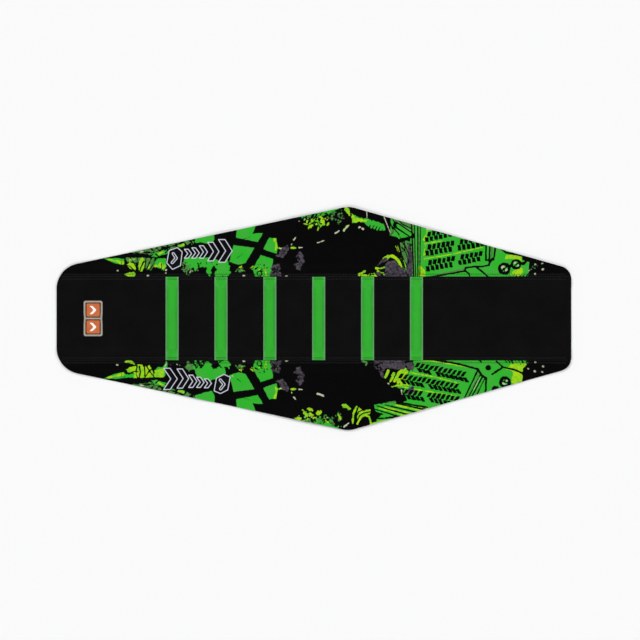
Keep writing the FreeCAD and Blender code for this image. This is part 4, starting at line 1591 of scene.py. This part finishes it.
    def tread(self) -> None:
        """Prints the green block with its three rows of tread, which start among grey patches."""
        self.patch(GREEN, "146,-3 142,12 122,40 121,62 160,72 250,60 303.6,32 304,12 311,-3", 0.5, 4)
        self.patch(LIME, "121,34 122,22 131,12 137,15 135,26 128,34", 1.4, 3, 94)
        self.brush(LIME, 1.9, 1.3, "140,18 175,24 208,32.4 | 129,38.6 170,46 208,52", 0.5, 2.6)
        self.brush(LIME, 1.6, 2.4, "152,-1 190,3.6 234,11", 0.5, 2.6)
        self.patch(BLACK, "119.6,40 128,42 135,58 130,62.5 119,60", 1)
        self.blocks((151, 10.4), (223, 24.8), (14.6, 15), (172, 176), -4.8, 96)
        self.blocks((127, 26.6), (214, 42.2), (15, 15.4), (163, 167), -4.8, 97)
        self.blocks((128, 48.2), (212, 60.4), (15.4, 16.4), (161, 166), -4, 98)
        self.blot(PLUM, "141,8.5,6.4,4.8,40 142,45,6.8,4.6,-60", 1.6, 3, 95)
        self.brush(BLACK, 2.8, 2.8, "121,61 165,68.5", 0.3)
        self.brush(LIME, 1.6, 2.4, "122,65 158,74", 0.5, 2.6)

    def frames(self) -> None:
        """Prints the long frame line, the slanted stripes beyond it and the angular lines at the seam."""
        self.brush(BLACK, 3.4, 2.8, "176,-1 212,5.6 239,12.8 244.5,22 251,26 250,48", 0.4, 3)
        self.brush(BLACK, 2.6, 2, "238.5,15 219.5,55 | 246,23 230.6,52", 0.3)
        self.brush(BLACK, 1.6, 1.6, "242.5,21 225,54 | 248.6,27 238,49", 0.3)
        self.brush(BLACK, 2.4, 3, "266,1.6 275.6,10 260,20 | 275.6,10 292,13.6 306,19.4", 0.4, 3)
        self.brush(BLACK, 4, 2, "240,-2 244,2.6")
        self.brush(MOSS, 1.6, 1.6, "240.6,19 222.6,55 | 247.6,30 235,50")
        self.brush(CREAM, 0.9, 0.9, "241.2,26 233,43")
        self.blot(BLACK, "254,10.8,4.2,3.9", 0.4, 2.4)
        self.patch(BLACK, "304.4,12 303.8,34 330,26 330,0 313,4", 0.4)

    def studs(self) -> None:
        """Prints one stud with a pale middle, in a lime glow."""
        self.patch(LIME, "281,12.6 288,6 300,2 310,5 304,14 303.6,32 290,33.6 286.6,24 290,18", 1.8, 4, 99)
        self.lay(BLACK, (Ring(278.4, 31.8, 6.4, 4.6), Blot(264.5, 41.8, 5.6, 4.6)), 0.5, 2.6)
        self.brush(BLACK, 2.2, 1.8, "273,30 284,33.4 | 279,27 277.6,33", 0.4, 2)
        self.blot(CREAM, "276.6,34,2.4,1.4,20 281,29.6,1.6,1.1,20", 0.3, 1.6)
        for n in range(8):
            tip = 3.4 + 2.2 * (n % 3)
            self.brush(BLACK, 3.4, 0.6, f"{277 + 5 * n},-3 {281 + 5 * n},{tip}", 0.9, 2.4)
        self.dot("322.8,2.7,1.6 333.8,8.7,1.8 321.9,16,1.9 332.9,16.7,1.5 312.4,12,1.4")
        self.spatter(GREEN, (309, 10), (5, 7), 14, (0.7, 1.9), 91)


# --- stitches, ribs and label ---


@dataclass(frozen=True)
class Stitching:
    """Lock stitches of two-ply thread, each a short twisted arch whose ends dip into the cloth."""

    finish: BondedThread
    pitch: float
    width: float = 0.8
    gap: float = 0.75
    rise: float = 0.42
    sink: float = 0.35
    rings: int = 9
    sides: int = 6

    def template(self) -> tuple[Array, Array]:
        """Builds one stitch of unit length: x along it, y across it in millimetres, and z up.

        Returns:
            The points, and the faces as point numbers.
        """
        points, faces = [], []
        ply = self.width * 0.29
        for strand in range(2):
            first = len(points)
            for ring in range(self.rings):
                share = ring / (self.rings - 1)
                arch = math.sin(math.pi * share) ** 0.6 if 0.0 < share < 1.0 else 0.0
                height = arch * (self.rise + self.sink) - self.sink
                turn = math.pi * (strand + 1.3 * share)
                size = ply * (1.0 if 0 < ring < self.rings - 1 else 0.35)
                across, up = ply * 0.85 * math.cos(turn), height + ply * 0.5 * math.sin(turn)
                for side in range(self.sides):
                    angle = 2.0 * math.pi * side / self.sides
                    points.append((share - 0.5, across + size * math.cos(angle), up + size * math.sin(angle)))
            for ring in range(self.rings - 1):
                for side in range(self.sides):
                    a = first + ring * self.sides + side
                    b = first + ring * self.sides + (side + 1) % self.sides
                    faces.append((a, b, b + self.sides, a + self.sides))
            for end in (0, self.rings - 1):
                start = first + end * self.sides
                ring_points = list(range(start, start + self.sides))
                order = ring_points[::-1] if end == 0 else ring_points
                faces += [(order[0], order[1], order[2], order[3]), (order[0], order[3], order[4], order[5])]
        return np.array(points), np.array(faces)[:, ::-1]

    def sew(self, name: str, starts: Array, stops: Array, seed: int, crease: float = 70.0) -> Piece:
        """Sews one stitch between each pair of points.

        Args:
            name: the piece's name.
            starts: where each stitch leaves the cloth, in millimetres.
            stops: where it goes back in.
            seed: sets the stitches' small differences.
            crease: the angle above which an edge stays sharp.

        Returns:
            All the stitches as one piece.
        """
        random = np.random.default_rng(seed)
        template, faces = self.template()
        run = stops - starts
        length = np.linalg.norm(run, axis=1, keepdims=True)
        along = run / length
        across = np.cross(np.array([0.0, 0.0, 1.0]), along)
        across /= np.linalg.norm(across, axis=1, keepdims=True)
        up = np.cross(along, across)
        centre = (starts + stops) / 2.0
        centre += across * random.normal(0.0, 0.07, (len(run), 1))
        across = across + along * random.normal(0.0, 0.05, (len(run), 1))
        size = length * random.uniform(0.94, 1.03, (len(run), 1))
        points = (
            centre[:, None, :]
            + along[:, None, :] * (size[:, None, :] * template[None, :, 0:1])
            + across[:, None, :] * template[None, :, 1:2]
            + up[:, None, :] * template[None, :, 2:3]
        )
        shift = np.arange(len(run))[:, None, None] * len(template)
        made = make_object(name, points.reshape(-1, 3), [(faces[None] + shift).reshape(-1, 4)], crease)
        made.data.materials.append(self.finish.material())
        return made

    def spaced(self, start: float, stop: float) -> tuple[Array, Array]:
        """Divides a straight run into stitches with small gaps.

        Args:
            start: where the run begins.
            stop: where it ends.

        Returns:
            Where the stitches begin along it, and where they end.
        """
        count = max(1, round((stop - start) / self.pitch))
        step = (stop - start) / count
        at = start + step * np.arange(count)
        return at + self.gap / 2.0, at + step - self.gap / 2.0


SEAM_STITCHING = Stitching(SEAM_THREAD, pitch=3.5)
RIB_STITCHING = Stitching(RIB_THREAD, pitch=3.2, width=0.75)
LABEL_STITCHING = Stitching(LABEL_THREAD, pitch=2.9, width=0.6, rise=0.3)
JOINING_STITCHING = Stitching(SEAM_THREAD, pitch=2.5, width=0.55, rise=0.12, sink=0.2)


@dataclass
class Seams:
    """The threads of the two long seams: a joining row in each valley and a topstitched row on each fold."""

    top: Panel
    sides: dict[str, Panel]
    end_margin: float = 4.0
    reach: float = 0.85

    def ends(self, panel: Panel, y: float) -> tuple[float, float]:
        """Finds how far a row can run on a panel.

        Args:
            panel: the panel that it is sewn on.
            y: the row's place across the cover.

        Returns:
            Where it starts and where it stops.
        """
        xs = []
        for (x, here), (next_x, there) in sides_of(panel.outline):
            if (here - y) * (there - y) < 0.0:
                xs.append(x + (next_x - x) * (y - here) / (there - here))
        return min(xs) + self.end_margin, max(xs) - self.end_margin

    def topstitch(self, name: str, panel: Panel, y: float, node: str, seed: int) -> None:
        """Sews one topstitched row.

        Args:
            name: the piece's name.
            panel: the panel that it is sewn on.
            y: the row's place across the cover.
            node: the modelled node that it stands for.
            seed: sets its small differences.
        """
        start, stop = self.ends(panel, y)
        pitch = SEAM_STITCHING.pitch
        first = math.ceil(start / pitch) * pitch
        count = int((stop - first) / pitch)
        at = first + pitch * np.arange(count)
        ends = [at + SEAM_STITCHING.gap / 2.0, at + pitch - SEAM_STITCHING.gap / 2.0]
        across = np.full(count, y)
        rises = [panel.face(x, across) + RIBS.cover_rise(x, across) for x in ends]
        starts, stops = (np.column_stack([x, across, z + 0.05]) for x, z in zip(ends, rises))
        made = SEAM_STITCHING.sew(name, starts, stops, seed)
        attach(made, panel.body)
        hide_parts(node)
        LOG.info("%s: %d stitches", made.name, count)

    def joining(self, name: str, side: int, node: str, seed: int) -> None:
        """Sews the row that joins two folds, whose stitches cross the valley between them.

        Args:
            name: the piece's name.
            side: 1 for the +Y seam, -1 for the other.
            node: the modelled node that it stands for.
            seed: sets its small differences.
        """
        start, stop = self.ends(self.top, side * (SEAM.offset - 0.6))
        at = np.arange(start, stop, JOINING_STITCHING.pitch)
        y = side * (SEAM.offset - self.reach)
        low = np.column_stack([at, np.full(len(at), y), np.full(len(at), 1.5)])
        high = low.copy()
        high[:, 0] += 0.5
        high[:, 1] = side * (SEAM.offset + self.reach)
        made = JOINING_STITCHING.sew(name, low, high, seed)
        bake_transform(made)
        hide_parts(node)
        LOG.info("%s: %d stitches", made.name, len(at))

    def build(self) -> None:
        """Sews every row of both seams."""
        for number, (word, side) in enumerate((("left", 1), ("right", -1))):
            panel = self.sides[word]
            outer, inner = side * (SEAM.offset + SEAM.row), side * (SEAM.offset - SEAM.row)
            self.topstitch(f"{word}_outer_stitches", panel, outer, f"{word}_outer_topstitch", 51 + number)
            self.topstitch(f"{word}_inner_stitches", self.top, inner, f"{word}_inner_topstitch", 61 + number)
            self.joining(f"{word}_joining_stitches", side, f"{word}_joining_thread", 71 + number)


@dataclass
class RibSet:
    """The six ribs across the top panel: each a vinyl strip over a foam core, sewn down at both edges."""

    centres: tuple[float, ...] = tuple(middle(f"rib_cover_{number}")[0] for number in range(1, 7))
    half_width: float = 9.4
    crown_half: float = 7.3
    end_away: float = 0.22
    flange: float = 1.0
    crown: float = 3.6
    slope_from: float = 44.0
    slope_to: float = 52.0
    row: float = 8.2
    row_end: float = 55.5
    core_half: float = 5.9
    core_end: float = 43.9

    def flange_rise(self, y: Array) -> Array:
        """Works out how far the strip's flat edge stands above the panel; it thins as it dips into the seam.

        Args:
            y: places across the cover.

        Returns:
            The rise there.
        """
        away = np.maximum(SEAM.offset - np.abs(y), 0.0)
        under, over = SEAM.hinge, SEAM.hinge + self.flange
        reach = SEAM.bend * over / under
        return over * np.tanh(away / reach) - under * np.tanh(away / SEAM.bend)

    def crown_rise(self, across: Array, y: Array) -> Array:
        """Works out how far the foam-filled crown stands above the flange.

        Args:
            across: places across the rib, from its centre.
            y: places across the cover.

        Returns:
            The rise there.
        """
        share = np.clip(np.abs(across) / self.crown_half, 0.0, 1.0)
        profile = (1.0 - share**2.3) ** 0.85
        return self.crown * profile * (1.0 - ease(self.slope_from - 1.0, self.slope_to, np.abs(y)))

    def cover_rise(self, x: Array, y: Array) -> Array:
        """Works out how far a rib's flange lifts a seam row.

        Args:
            x: places along the cover.
            y: places across it.

        Returns:
            The rise there, 0 between the ribs.
        """
        across = np.abs(x[:, None] - np.array(self.centres)).min(axis=1)
        over = (across < self.half_width) & (np.abs(y) < SEAM.offset)
        return np.where(over, self.flange_rise(y), 0.0)

    def shell(
        self, name: str, across: Array, along: Array, number: int, top: Array, bottom: Array
    ) -> Piece:
        """Closes a lower and an upper grid of heights into one skin.

        Args:
            name: the piece's name.
            across: positions across the rib, from its centre.
            along: positions along it.
            number: which rib, from 0.
            top: the upper heights, one row for each place along.
            bottom: the lower heights.

        Returns:
            The closed mesh.
        """
        columns, rows = len(across), len(along)
        x, y = np.meshgrid(self.centres[number] + across, along)
        upper = np.column_stack([x.ravel(), y.ravel(), top.ravel()])
        lower = np.column_stack([x.ravel(), y.ravel(), bottom.ravel()])
        cell = (np.arange(rows - 1)[:, None] * columns + np.arange(columns - 1)[None, :]).ravel()
        faces = np.column_stack([cell, cell + 1, cell + columns + 1, cell + columns])
        size = columns * rows
        first, last = np.arange(columns), (rows - 1) * columns + np.arange(columns)
        left, right = np.arange(rows) * columns, np.arange(rows) * columns + columns - 1
        rim = np.concatenate([first, right[1:], last[::-1][1:], left[::-1][1:-1]])
        ahead = np.roll(rim, -1)
        walls = np.column_stack([rim + size, ahead + size, ahead, rim])
        return make_object(name, np.concatenate([upper, lower]), [faces, faces[:, ::-1] + size, walls], 50.0)

    def cover(self, number: int, panel: Panel, core: Piece) -> Piece:
        """Builds a rib's strip.

        Args:
            number: which rib, from 0.
            panel: the panel under it.
            core: not used.

        Returns:
            The strip.
        """
        end = SEAM.offset - self.end_away
        inner = np.linspace(-self.crown_half - 0.2, self.crown_half + 0.2, 23)
        outer = np.array([7.85, 8.2, 8.55, 8.95, 9.25, 9.4])
        across = np.concatenate([-outer[::-1], inner, outer])
        near = np.array([0.0, 0.25, 0.6, 1.0, 1.5, 2.1, 2.8, 3.6, 4.4, 5.2])
        along = np.concatenate([-end + near, np.arange(-end + 6.0, end - 5.9, 0.8), (end - near)[::-1]])
        x, y = np.meshgrid(self.centres[number] + across, along)
        offset = x - self.centres[number]
        ground = panel.face(x, y)
        flange = self.flange_rise(y)
        taut = Swell(21.0, 0.09, 100 + number, 5).at(x, y)
        crown = self.crown_rise(offset, y)
        sewn = np.exp(-(((np.abs(offset) - self.row) / 0.75) ** 2)) * (np.abs(y) < self.row_end + 1.5)
        dimple = 0.14 + 0.2 * (0.5 + 0.5 * np.cos(2.0 * math.pi * y / RIB_STITCHING.pitch))
        roll = 0.25 * ease(self.half_width - 0.5, self.half_width, np.abs(offset))
        thin = np.minimum(flange, 1.0)
        top = ground + flange + crown + (taut * np.minimum(crown, 1.0) - sewn * dimple - roll) * thin
        bottom = np.maximum(top - np.maximum(flange, 0.03), ground - 0.1)
        bottom = np.minimum(bottom, top - 0.02)
        made = self.shell(f"rib_strip_{number + 1}", across, along, number, top, bottom)
        made.data.materials.append(RIB_VINYL.material())
        # Painted sheen: the strip pales towards both sewn edges, where its rounded flanks would catch the
        # light.
        pale = ease(self.crown_half - 0.9, self.half_width - 0.6, np.abs(offset)).ravel()
        write_attribute(made, "sheen_mask", np.concatenate([pale, pale]) * 0.75)
        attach(made, "top")
        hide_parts(f"rib_cover_{number + 1}")
        return made

    def core(self, number: int, panel: Panel) -> Piece:
        """Builds a rib's foam core: crowned, with its ends and its lower edges rounded off.

        Args:
            number: which rib, from 0.
            panel: the panel under it.

        Returns:
            The core.
        """
        across = np.linspace(-self.core_half, self.core_half, 21)
        inner = self.core_end - 6.0
        along = np.concatenate([-np.linspace(self.core_end, inner, 9), np.arange(-36.0, 37.0, 2.4)])
        along = np.concatenate([along, np.linspace(inner, self.core_end, 9)])
        x, y = np.meshgrid(self.centres[number] + across, along)
        share = np.clip(np.abs(x - self.centres[number]) / self.core_half, 0.0, 1.0)
        ends = np.clip((np.abs(y) - self.core_end + 6.0) / 6.0, 0.0, 1.0)
        height = (self.crown - 0.45) * (1.0 - share**2.6) ** 0.8 * np.sqrt(1.0 - ends**2)
        ground = panel.face(x, y) + 0.05
        top = ground + np.maximum(height, 0.12)
        made = self.shell(f"rib_foam_{number + 1}", across, along, number, top, ground)
        made.data.materials.append(RIB_FOAM.material())
        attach(made, "top")
        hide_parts(f"rib_core_{number + 1}")
        return made

    def stitches(self, number: int, panel: Panel) -> Piece:
        """Sews the two rows that hold a rib's strip down.

        Args:
            number: which rib, from 0.
            panel: the panel under it.

        Returns:
            Both rows as one piece.
        """
        starts, stops = RIB_STITCHING.spaced(-self.row_end, self.row_end)
        ends = []
        for side in (-1, 1):
            for y in (starts, stops):
                x = np.full(len(y), self.centres[number] + side * self.row)
                z = panel.face(x, y) + self.flange_rise(y) + self.crown_rise(x - self.centres[number], y)
                ends.append(np.column_stack([x, y, z - 0.12]))
        starts, stops = np.concatenate(ends[::2]), np.concatenate(ends[1::2])
        made = RIB_STITCHING.sew(f"rib_stitches_{number + 1}", starts, stops, 200 + number)
        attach(made, "top")
        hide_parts(f"rib_stitching_{number + 1}")
        return made

    def build(self, panel: Panel) -> None:
        """Builds every rib.

        Args:
            panel: the panel under them.
        """
        for number in range(len(self.centres)):
            core = self.core(number, panel)
            cover = self.cover(number, panel, core)
            self.stitches(number, panel)
            LOG.info("%s over %s, with its two rows of stitches", cover.name, core.name)


RIBS = RibSet()


@dataclass
class Label:
    """The moulded label: a stone-coloured frame round two orange tiles with raised white arrowheads."""

    x: float = middle("label_backing")[0]
    half_across: float = 13.7
    half_along: float = 25.8
    radius: float = 3.0
    thickness: float = 1.4
    border: float = 2.5
    recess: float = 0.75
    bar: float = 1.15
    tile_centre: float = middle("label_tile_left")[1]
    tile_half: float = 9.6
    tile_radius: float = 1.7
    waist: float = 0.55
    mark: float = 12.0
    stroke: float = 4.2
    row_from_edge: float = 1.25

    def loop(self, half_x: float, half_y: float, radius: float, y: float = 0.0, waist: float = 0.0) -> Array:
        """Traces a rounded rectangle.

        Args:
            half_x: half its size along the cover.
            half_y: half its size across the cover.
            radius: its corner radius.
            y: its centre across the cover.
            waist: how far its long sides pull in at mid-height.

        Returns:
            Its points anticlockwise, always as many.
        """
        points = []
        radius = max(radius, 0.05)
        centres = ((1, 1, 0.0), (-1, 1, 90.0), (-1, -1, 180.0), (1, -1, 270.0))
        for n, (sign_x, sign_y, turn) in enumerate(centres):
            centre = (sign_x * (half_x - radius), sign_y * (half_y - radius))
            for k in range(9):
                angle = math.radians(turn + 90.0 * k / 8)
                points.append((centre[0] + radius * math.cos(angle), centre[1] + radius * math.sin(angle)))
            ahead = centres[(n + 1) % 4]
            following = (ahead[0] * (half_x - radius), ahead[1] * (half_y - radius))
            start = points[-1]
            angle = math.radians(turn + 90.0)
            stop = (following[0] + radius * math.cos(angle), following[1] + radius * math.sin(angle))
            run_x, run_y = stop[0] - start[0], stop[1] - start[1]
            for k in range(1, 24):
                share = k / 24
                points.append((start[0] + run_x * share, start[1] + run_y * share))
        traced = np.array(points)
        pull = waist * np.exp(-((traced[:, 1] / 5.0) ** 2)) * np.sign(traced[:, 0])
        return np.column_stack([traced[:, 0] - pull, traced[:, 1] + y])

    def loft(
        self, name: str, loops: Sequence[tuple[Array, float]], ground: float, finishes: Sequence[Finish],
        zones: Sequence[int] = (),
    ) -> Piece:
        """Joins loops of as many points into a closed moulding.

        Args:
            name: the piece's name.
            loops: each loop with its height above the ground, from the underside round to the top.
            ground: the height of the surface that it sits on.
            finishes: its materials.
            zones: for each band between loops, the number of its material.

        Returns:
            The moulding.
        """
        count = len(loops[0][0])
        points = [np.column_stack([p[:, 0] + self.x, p[:, 1], np.full(count, ground + z)]) for p, z in loops]
        here = np.arange(count)
        ahead = (here + 1) % count
        band = np.column_stack([here, ahead, ahead + count, here + count])
        bands = [band + n * count for n in range(len(loops) - 1)]
        last = (len(loops) - 1) * count
        made = make_object(name, np.concatenate(points), [*bands, [here[::-1]], [here + last]], 40.0)
        for finish in finishes:
            made.data.materials.append(finish.material())
        if zones:
            of_faces = np.concatenate([np.repeat(zones, count), [0, zones[-1]]]).astype(np.int32)
            made.data.polygons.foreach_set("material_index", of_faces)
        return made

    def dress(self, made: Piece, node: str, slot: str) -> None:
        """Rides a piece on the top panel in place of its modelled node.

        Args:
            made: the piece.
            node: the modelled node.
            slot: not used.
        """
        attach(made, "top")
        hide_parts(node)
        LOG.info("%s", made.name)

    def frame(self, ground: float) -> None:
        """Builds the backing with its raised, rounded border and the bar between the two tiles.

        Args:
            ground: the height of the panel under the label.
        """
        across, along, radius, waist = self.half_across, self.half_along, self.radius, self.waist
        high, low = self.thickness, self.thickness - self.recess
        rim = ((0.15, 0.0), (0.0, 0.15), (0.0, high - 0.55), (0.12, high - 0.25), (0.4, high - 0.06))
        brow = ((0.8, high), (self.border - 0.9, high), (self.border - 0.45, high - 0.08))
        drop = ((self.border - 0.15, high - 0.3), (self.border, high - 0.5), (self.border + 0.12, low))
        steps = rim + brow + drop
        loops = [(self.loop(across - e, along - e, radius - e * 0.6, waist=waist), z) for e, z in steps]
        # The drop into the recess and the recess floor carry the painted shadow.
        made = self.loft("label_frame", loops, ground, (LABEL_BORDER, LABEL_SHADOW), (0,) * 9 + (1,))
        self.dress(made, "label_backing", "label_border")
        made.data.polygons[len(made.data.polygons) - 1].material_index = 1
        inside = across - self.border + 0.1
        profile = ((0.0, 0.0), (0.0, 0.45), (0.2, 0.66), (0.55, 0.72))
        bar = [(self.loop(inside - waist, self.bar - e, 0.3), low + z) for e, z in profile]
        divider = self.loft("label_divider", bar, ground, (LABEL_BORDER,))
        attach(divider, "top")

    def tile(self, word: str, side: int, ground: float) -> None:
        """Builds one slightly domed tile.

        Args:
            word: left or right.
            side: 1 for the tile on the +Y side.
            ground: the height of the panel under the label.
        """
        low = self.thickness - self.recess
        steps = ((0.0, 0.0), (0.0, 0.22), (0.12, 0.36), (0.35, 0.45), (1.2, 0.5), (4.5, 0.54))
        y, half, radius = side * self.tile_centre, self.tile_half, self.tile_radius
        loops = [(self.loop(half - e, half - e, radius - e * 0.2, y), low + z) for e, z in steps]
        made = self.loft(f"label_square_{word}", loops, ground, (LABEL_FIELD,))
        self.dress(made, f"label_tile_{word}", "label_field")

    def arrow(self, grow: float, y: float) -> Array:
        """Traces one arrowhead that points to the cover's plain end.

        Args:
            grow: how far its outline is moved outward.
            y: its centre across the cover.

        Returns:
            Its points, anticlockwise.
        """
        back = -(self.mark / 2.0 + self.stroke) / 2.0
        half, slant = self.mark / 2.0, grow * (math.sqrt(2.0) - 1.0)
        corners = [
            (back - grow * math.sqrt(2.0) + slant, -half - grow),
            (back + self.stroke + slant, -half - grow),
            (back + self.stroke + half + grow * math.sqrt(2.0), 0.0),
            (back + self.stroke + slant, half + grow),
            (back - grow * math.sqrt(2.0) + slant, half + grow),
            (back + half - grow * math.sqrt(2.0), 0.0),
        ]
        points = []
        steps = 8
        for (here_x, here_y), (next_x, next_y) in sides_of(corners):
            for k in range(steps):
                share = k / steps
                points.append((here_x + (next_x - here_x) * share, here_y + (next_y - here_y) * share))
        traced = np.array(points)
        for _ in range(2):
            traced = (np.roll(traced, 1, axis=0) + 2.0 * traced + np.roll(traced, -1, axis=0)) / 4.0
        return traced + np.array([0.0, y])

    def build_mark(self, word: str, side: int, ground: float) -> None:
        """Builds one raised arrowhead on its tile.

        Args:
            word: left or right.
            side: 1 for the tile on the +Y side.
            ground: the height of the panel under the label.
        """
        low = self.thickness - self.recess + 0.5
        steps = ((0.1, 0.0), (0.1, 0.2), (-0.05, 0.34), (-0.3, 0.42))
        y = side * self.tile_centre
        loops = [(self.arrow(grow, y), low + z) for grow, z in steps]
        made = self.loft(f"label_arrow_{word}", loops, ground, (LABEL_MARK,))
        self.dress(made, f"label_mark_{word}", "label_mark")

    def stitches(self, ground: float) -> None:
        """Sews the four rows round the border.

        Args:
            ground: the height of the panel under the label.
        """
        across, along = self.half_across - self.row_from_edge, self.half_along - self.row_from_edge
        height = ground + self.thickness + 0.02
        starts, stops = [], []
        for side in (-1, 1):
            for a, b in zip(*LABEL_STITCHING.spaced(-along + self.radius, along - self.radius)):
                pulls = [self.waist * math.exp(-((y / 5.0) ** 2)) for y in (a, b)]
                starts.append((self.x + side * (across - pulls[0]), a, height))
                stops.append((self.x + side * (across - pulls[1]), b, height))
            for a, b in zip(*LABEL_STITCHING.spaced(-across + self.radius, across - self.radius)):
                starts.append((self.x + a, side * along, height))
                stops.append((self.x + b, side * along, height))
        made = LABEL_STITCHING.sew("label_stitches", np.array(starts), np.array(stops), 300)
        self.dress(made, "label_stitching", "label_thread")

    def build(self, panel: Panel) -> None:
        """Builds the label.

        Args:
            panel: the panel under it.
        """
        spots = [(dx, y) for dx in (-self.half_across, 0.0, self.half_across) for y in (-20.0, 0.0, 20.0)]
        heights = [float(panel.face(np.array([self.x + dx]), np.array([y]))[0]) for dx, y in spots]
        ground = sum(heights) / len(heights) - 0.05
        self.frame(ground)
        for word, side in (("left", 1), ("right", -1)):
            self.tile(word, side, ground)
            self.build_mark(word, side, ground)
        self.stitches(ground)


# --- studio ---


@dataclass(frozen=True)
class Lamp:
    """A large soft light far away: where it stands, how strong it is and how wide it looks."""

    name: str
    azimuth: float
    elevation: float
    strength: float
    spread: float = 35.0


@dataclass
class Studio:
    """Straight-down camera, pale seamless floor, and soft light from the sides under a dark ceiling."""

    view_x: float = 8.9
    view_y: float = -2.2
    view_width: float = 932.8
    lens: float = 110.0
    sensor: float = 36.0
    floor_half: float = 9000.0
    lamps: tuple[Lamp, ...] = (
        Lamp("key_light", 135.0, 42.0, 1.62), Lamp("fill_light", 20.0, 38.0, 1.15),
        Lamp("far_light", 265.0, 38.0, 1.15)
    )

    def camera(self) -> None:
        """Hangs the camera over the middle of the view, looking straight down with +Y up."""
        data = bpy.data.cameras.new("view_camera")
        data.lens = self.lens
        data.sensor_width = self.sensor
        data.clip_end = 50.0
        made = bpy.data.objects.new("view_camera", data)
        height = self.view_width * self.lens / self.sensor
        made.location = (self.view_x * MM, self.view_y * MM, (height + 1.0) * MM)
        bpy.context.scene.collection.objects.link(made)
        bpy.context.scene.camera = made

    def light(self) -> None:
        """Sets the lamps and the pale walls."""
        for lamp in self.lamps:
            data = bpy.data.lights.new(lamp.name, "SUN")
            data.energy = lamp.strength
            data.angle = math.radians(lamp.spread)
            made = bpy.data.objects.new(lamp.name, data)
            turn, tilt = math.radians(lamp.azimuth), math.radians(90.0 - lamp.elevation)
            made.rotation_euler = (0.0, tilt, turn)
            bpy.context.scene.collection.objects.link(made)
        world = bpy.data.worlds.new("studio_walls")
        world.use_nodes = True
        bpy.context.scene.world = world
        tree = world.node_tree
        background = tree.nodes["Background"]
        direction = add_node(tree, "TexCoord", out="Generated")
        height = add_node(tree, "SeparateXYZ", (direction,), "Z")
        fade = (height, 0.45, 0.85, 0.55, 0.04)
        wall = add_node(tree, "MapRange", fade, interpolation_type="SMOOTHSTEP")
        tree.links.new(wall, background.inputs["Strength"])
        background.inputs["Color"].default_value = linear("#F4F5F7")

    def floor(self) -> None:
        """Lays the floor just under the cover."""
        half = self.floor_half
        points = np.array(
            [(-half, -half, -0.02), (half, -half, -0.02), (half, half, -0.02), (-half, half, -0.02)]
        )
        made = make_object("studio_floor", points, [np.array([[0, 1, 2, 3]])])
        made.data.materials.append(SWEEP.material())
        made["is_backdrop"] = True

    def build(self) -> None:
        """Sets up the camera, the light and the floor."""
        self.camera()
        self.light()
        self.floor()
        bpy.context.scene.view_settings.view_transform = "Standard"
        LOG.info("studio ready")


def main() -> None:
    """Builds the seat cover piece by piece."""
    logging.basicConfig(level=logging.INFO, format="%(name)s: %(message)s")
    Studio().build()
    panels = CoverPanels()
    top = panels.top()
    top.build()
    sides = {}
    for word, design in (("left", LeftPrint), ("right", RightPrint)):
        panel = panels.side(word == "left")
        made = panel.build()
        design(panel.face_xy).print_on(made)
        sides[word] = panel
    RIBS.build(top)
    Seams(top, sides).build()
    Label().build(top)


if __name__ == "__main__":
    main()
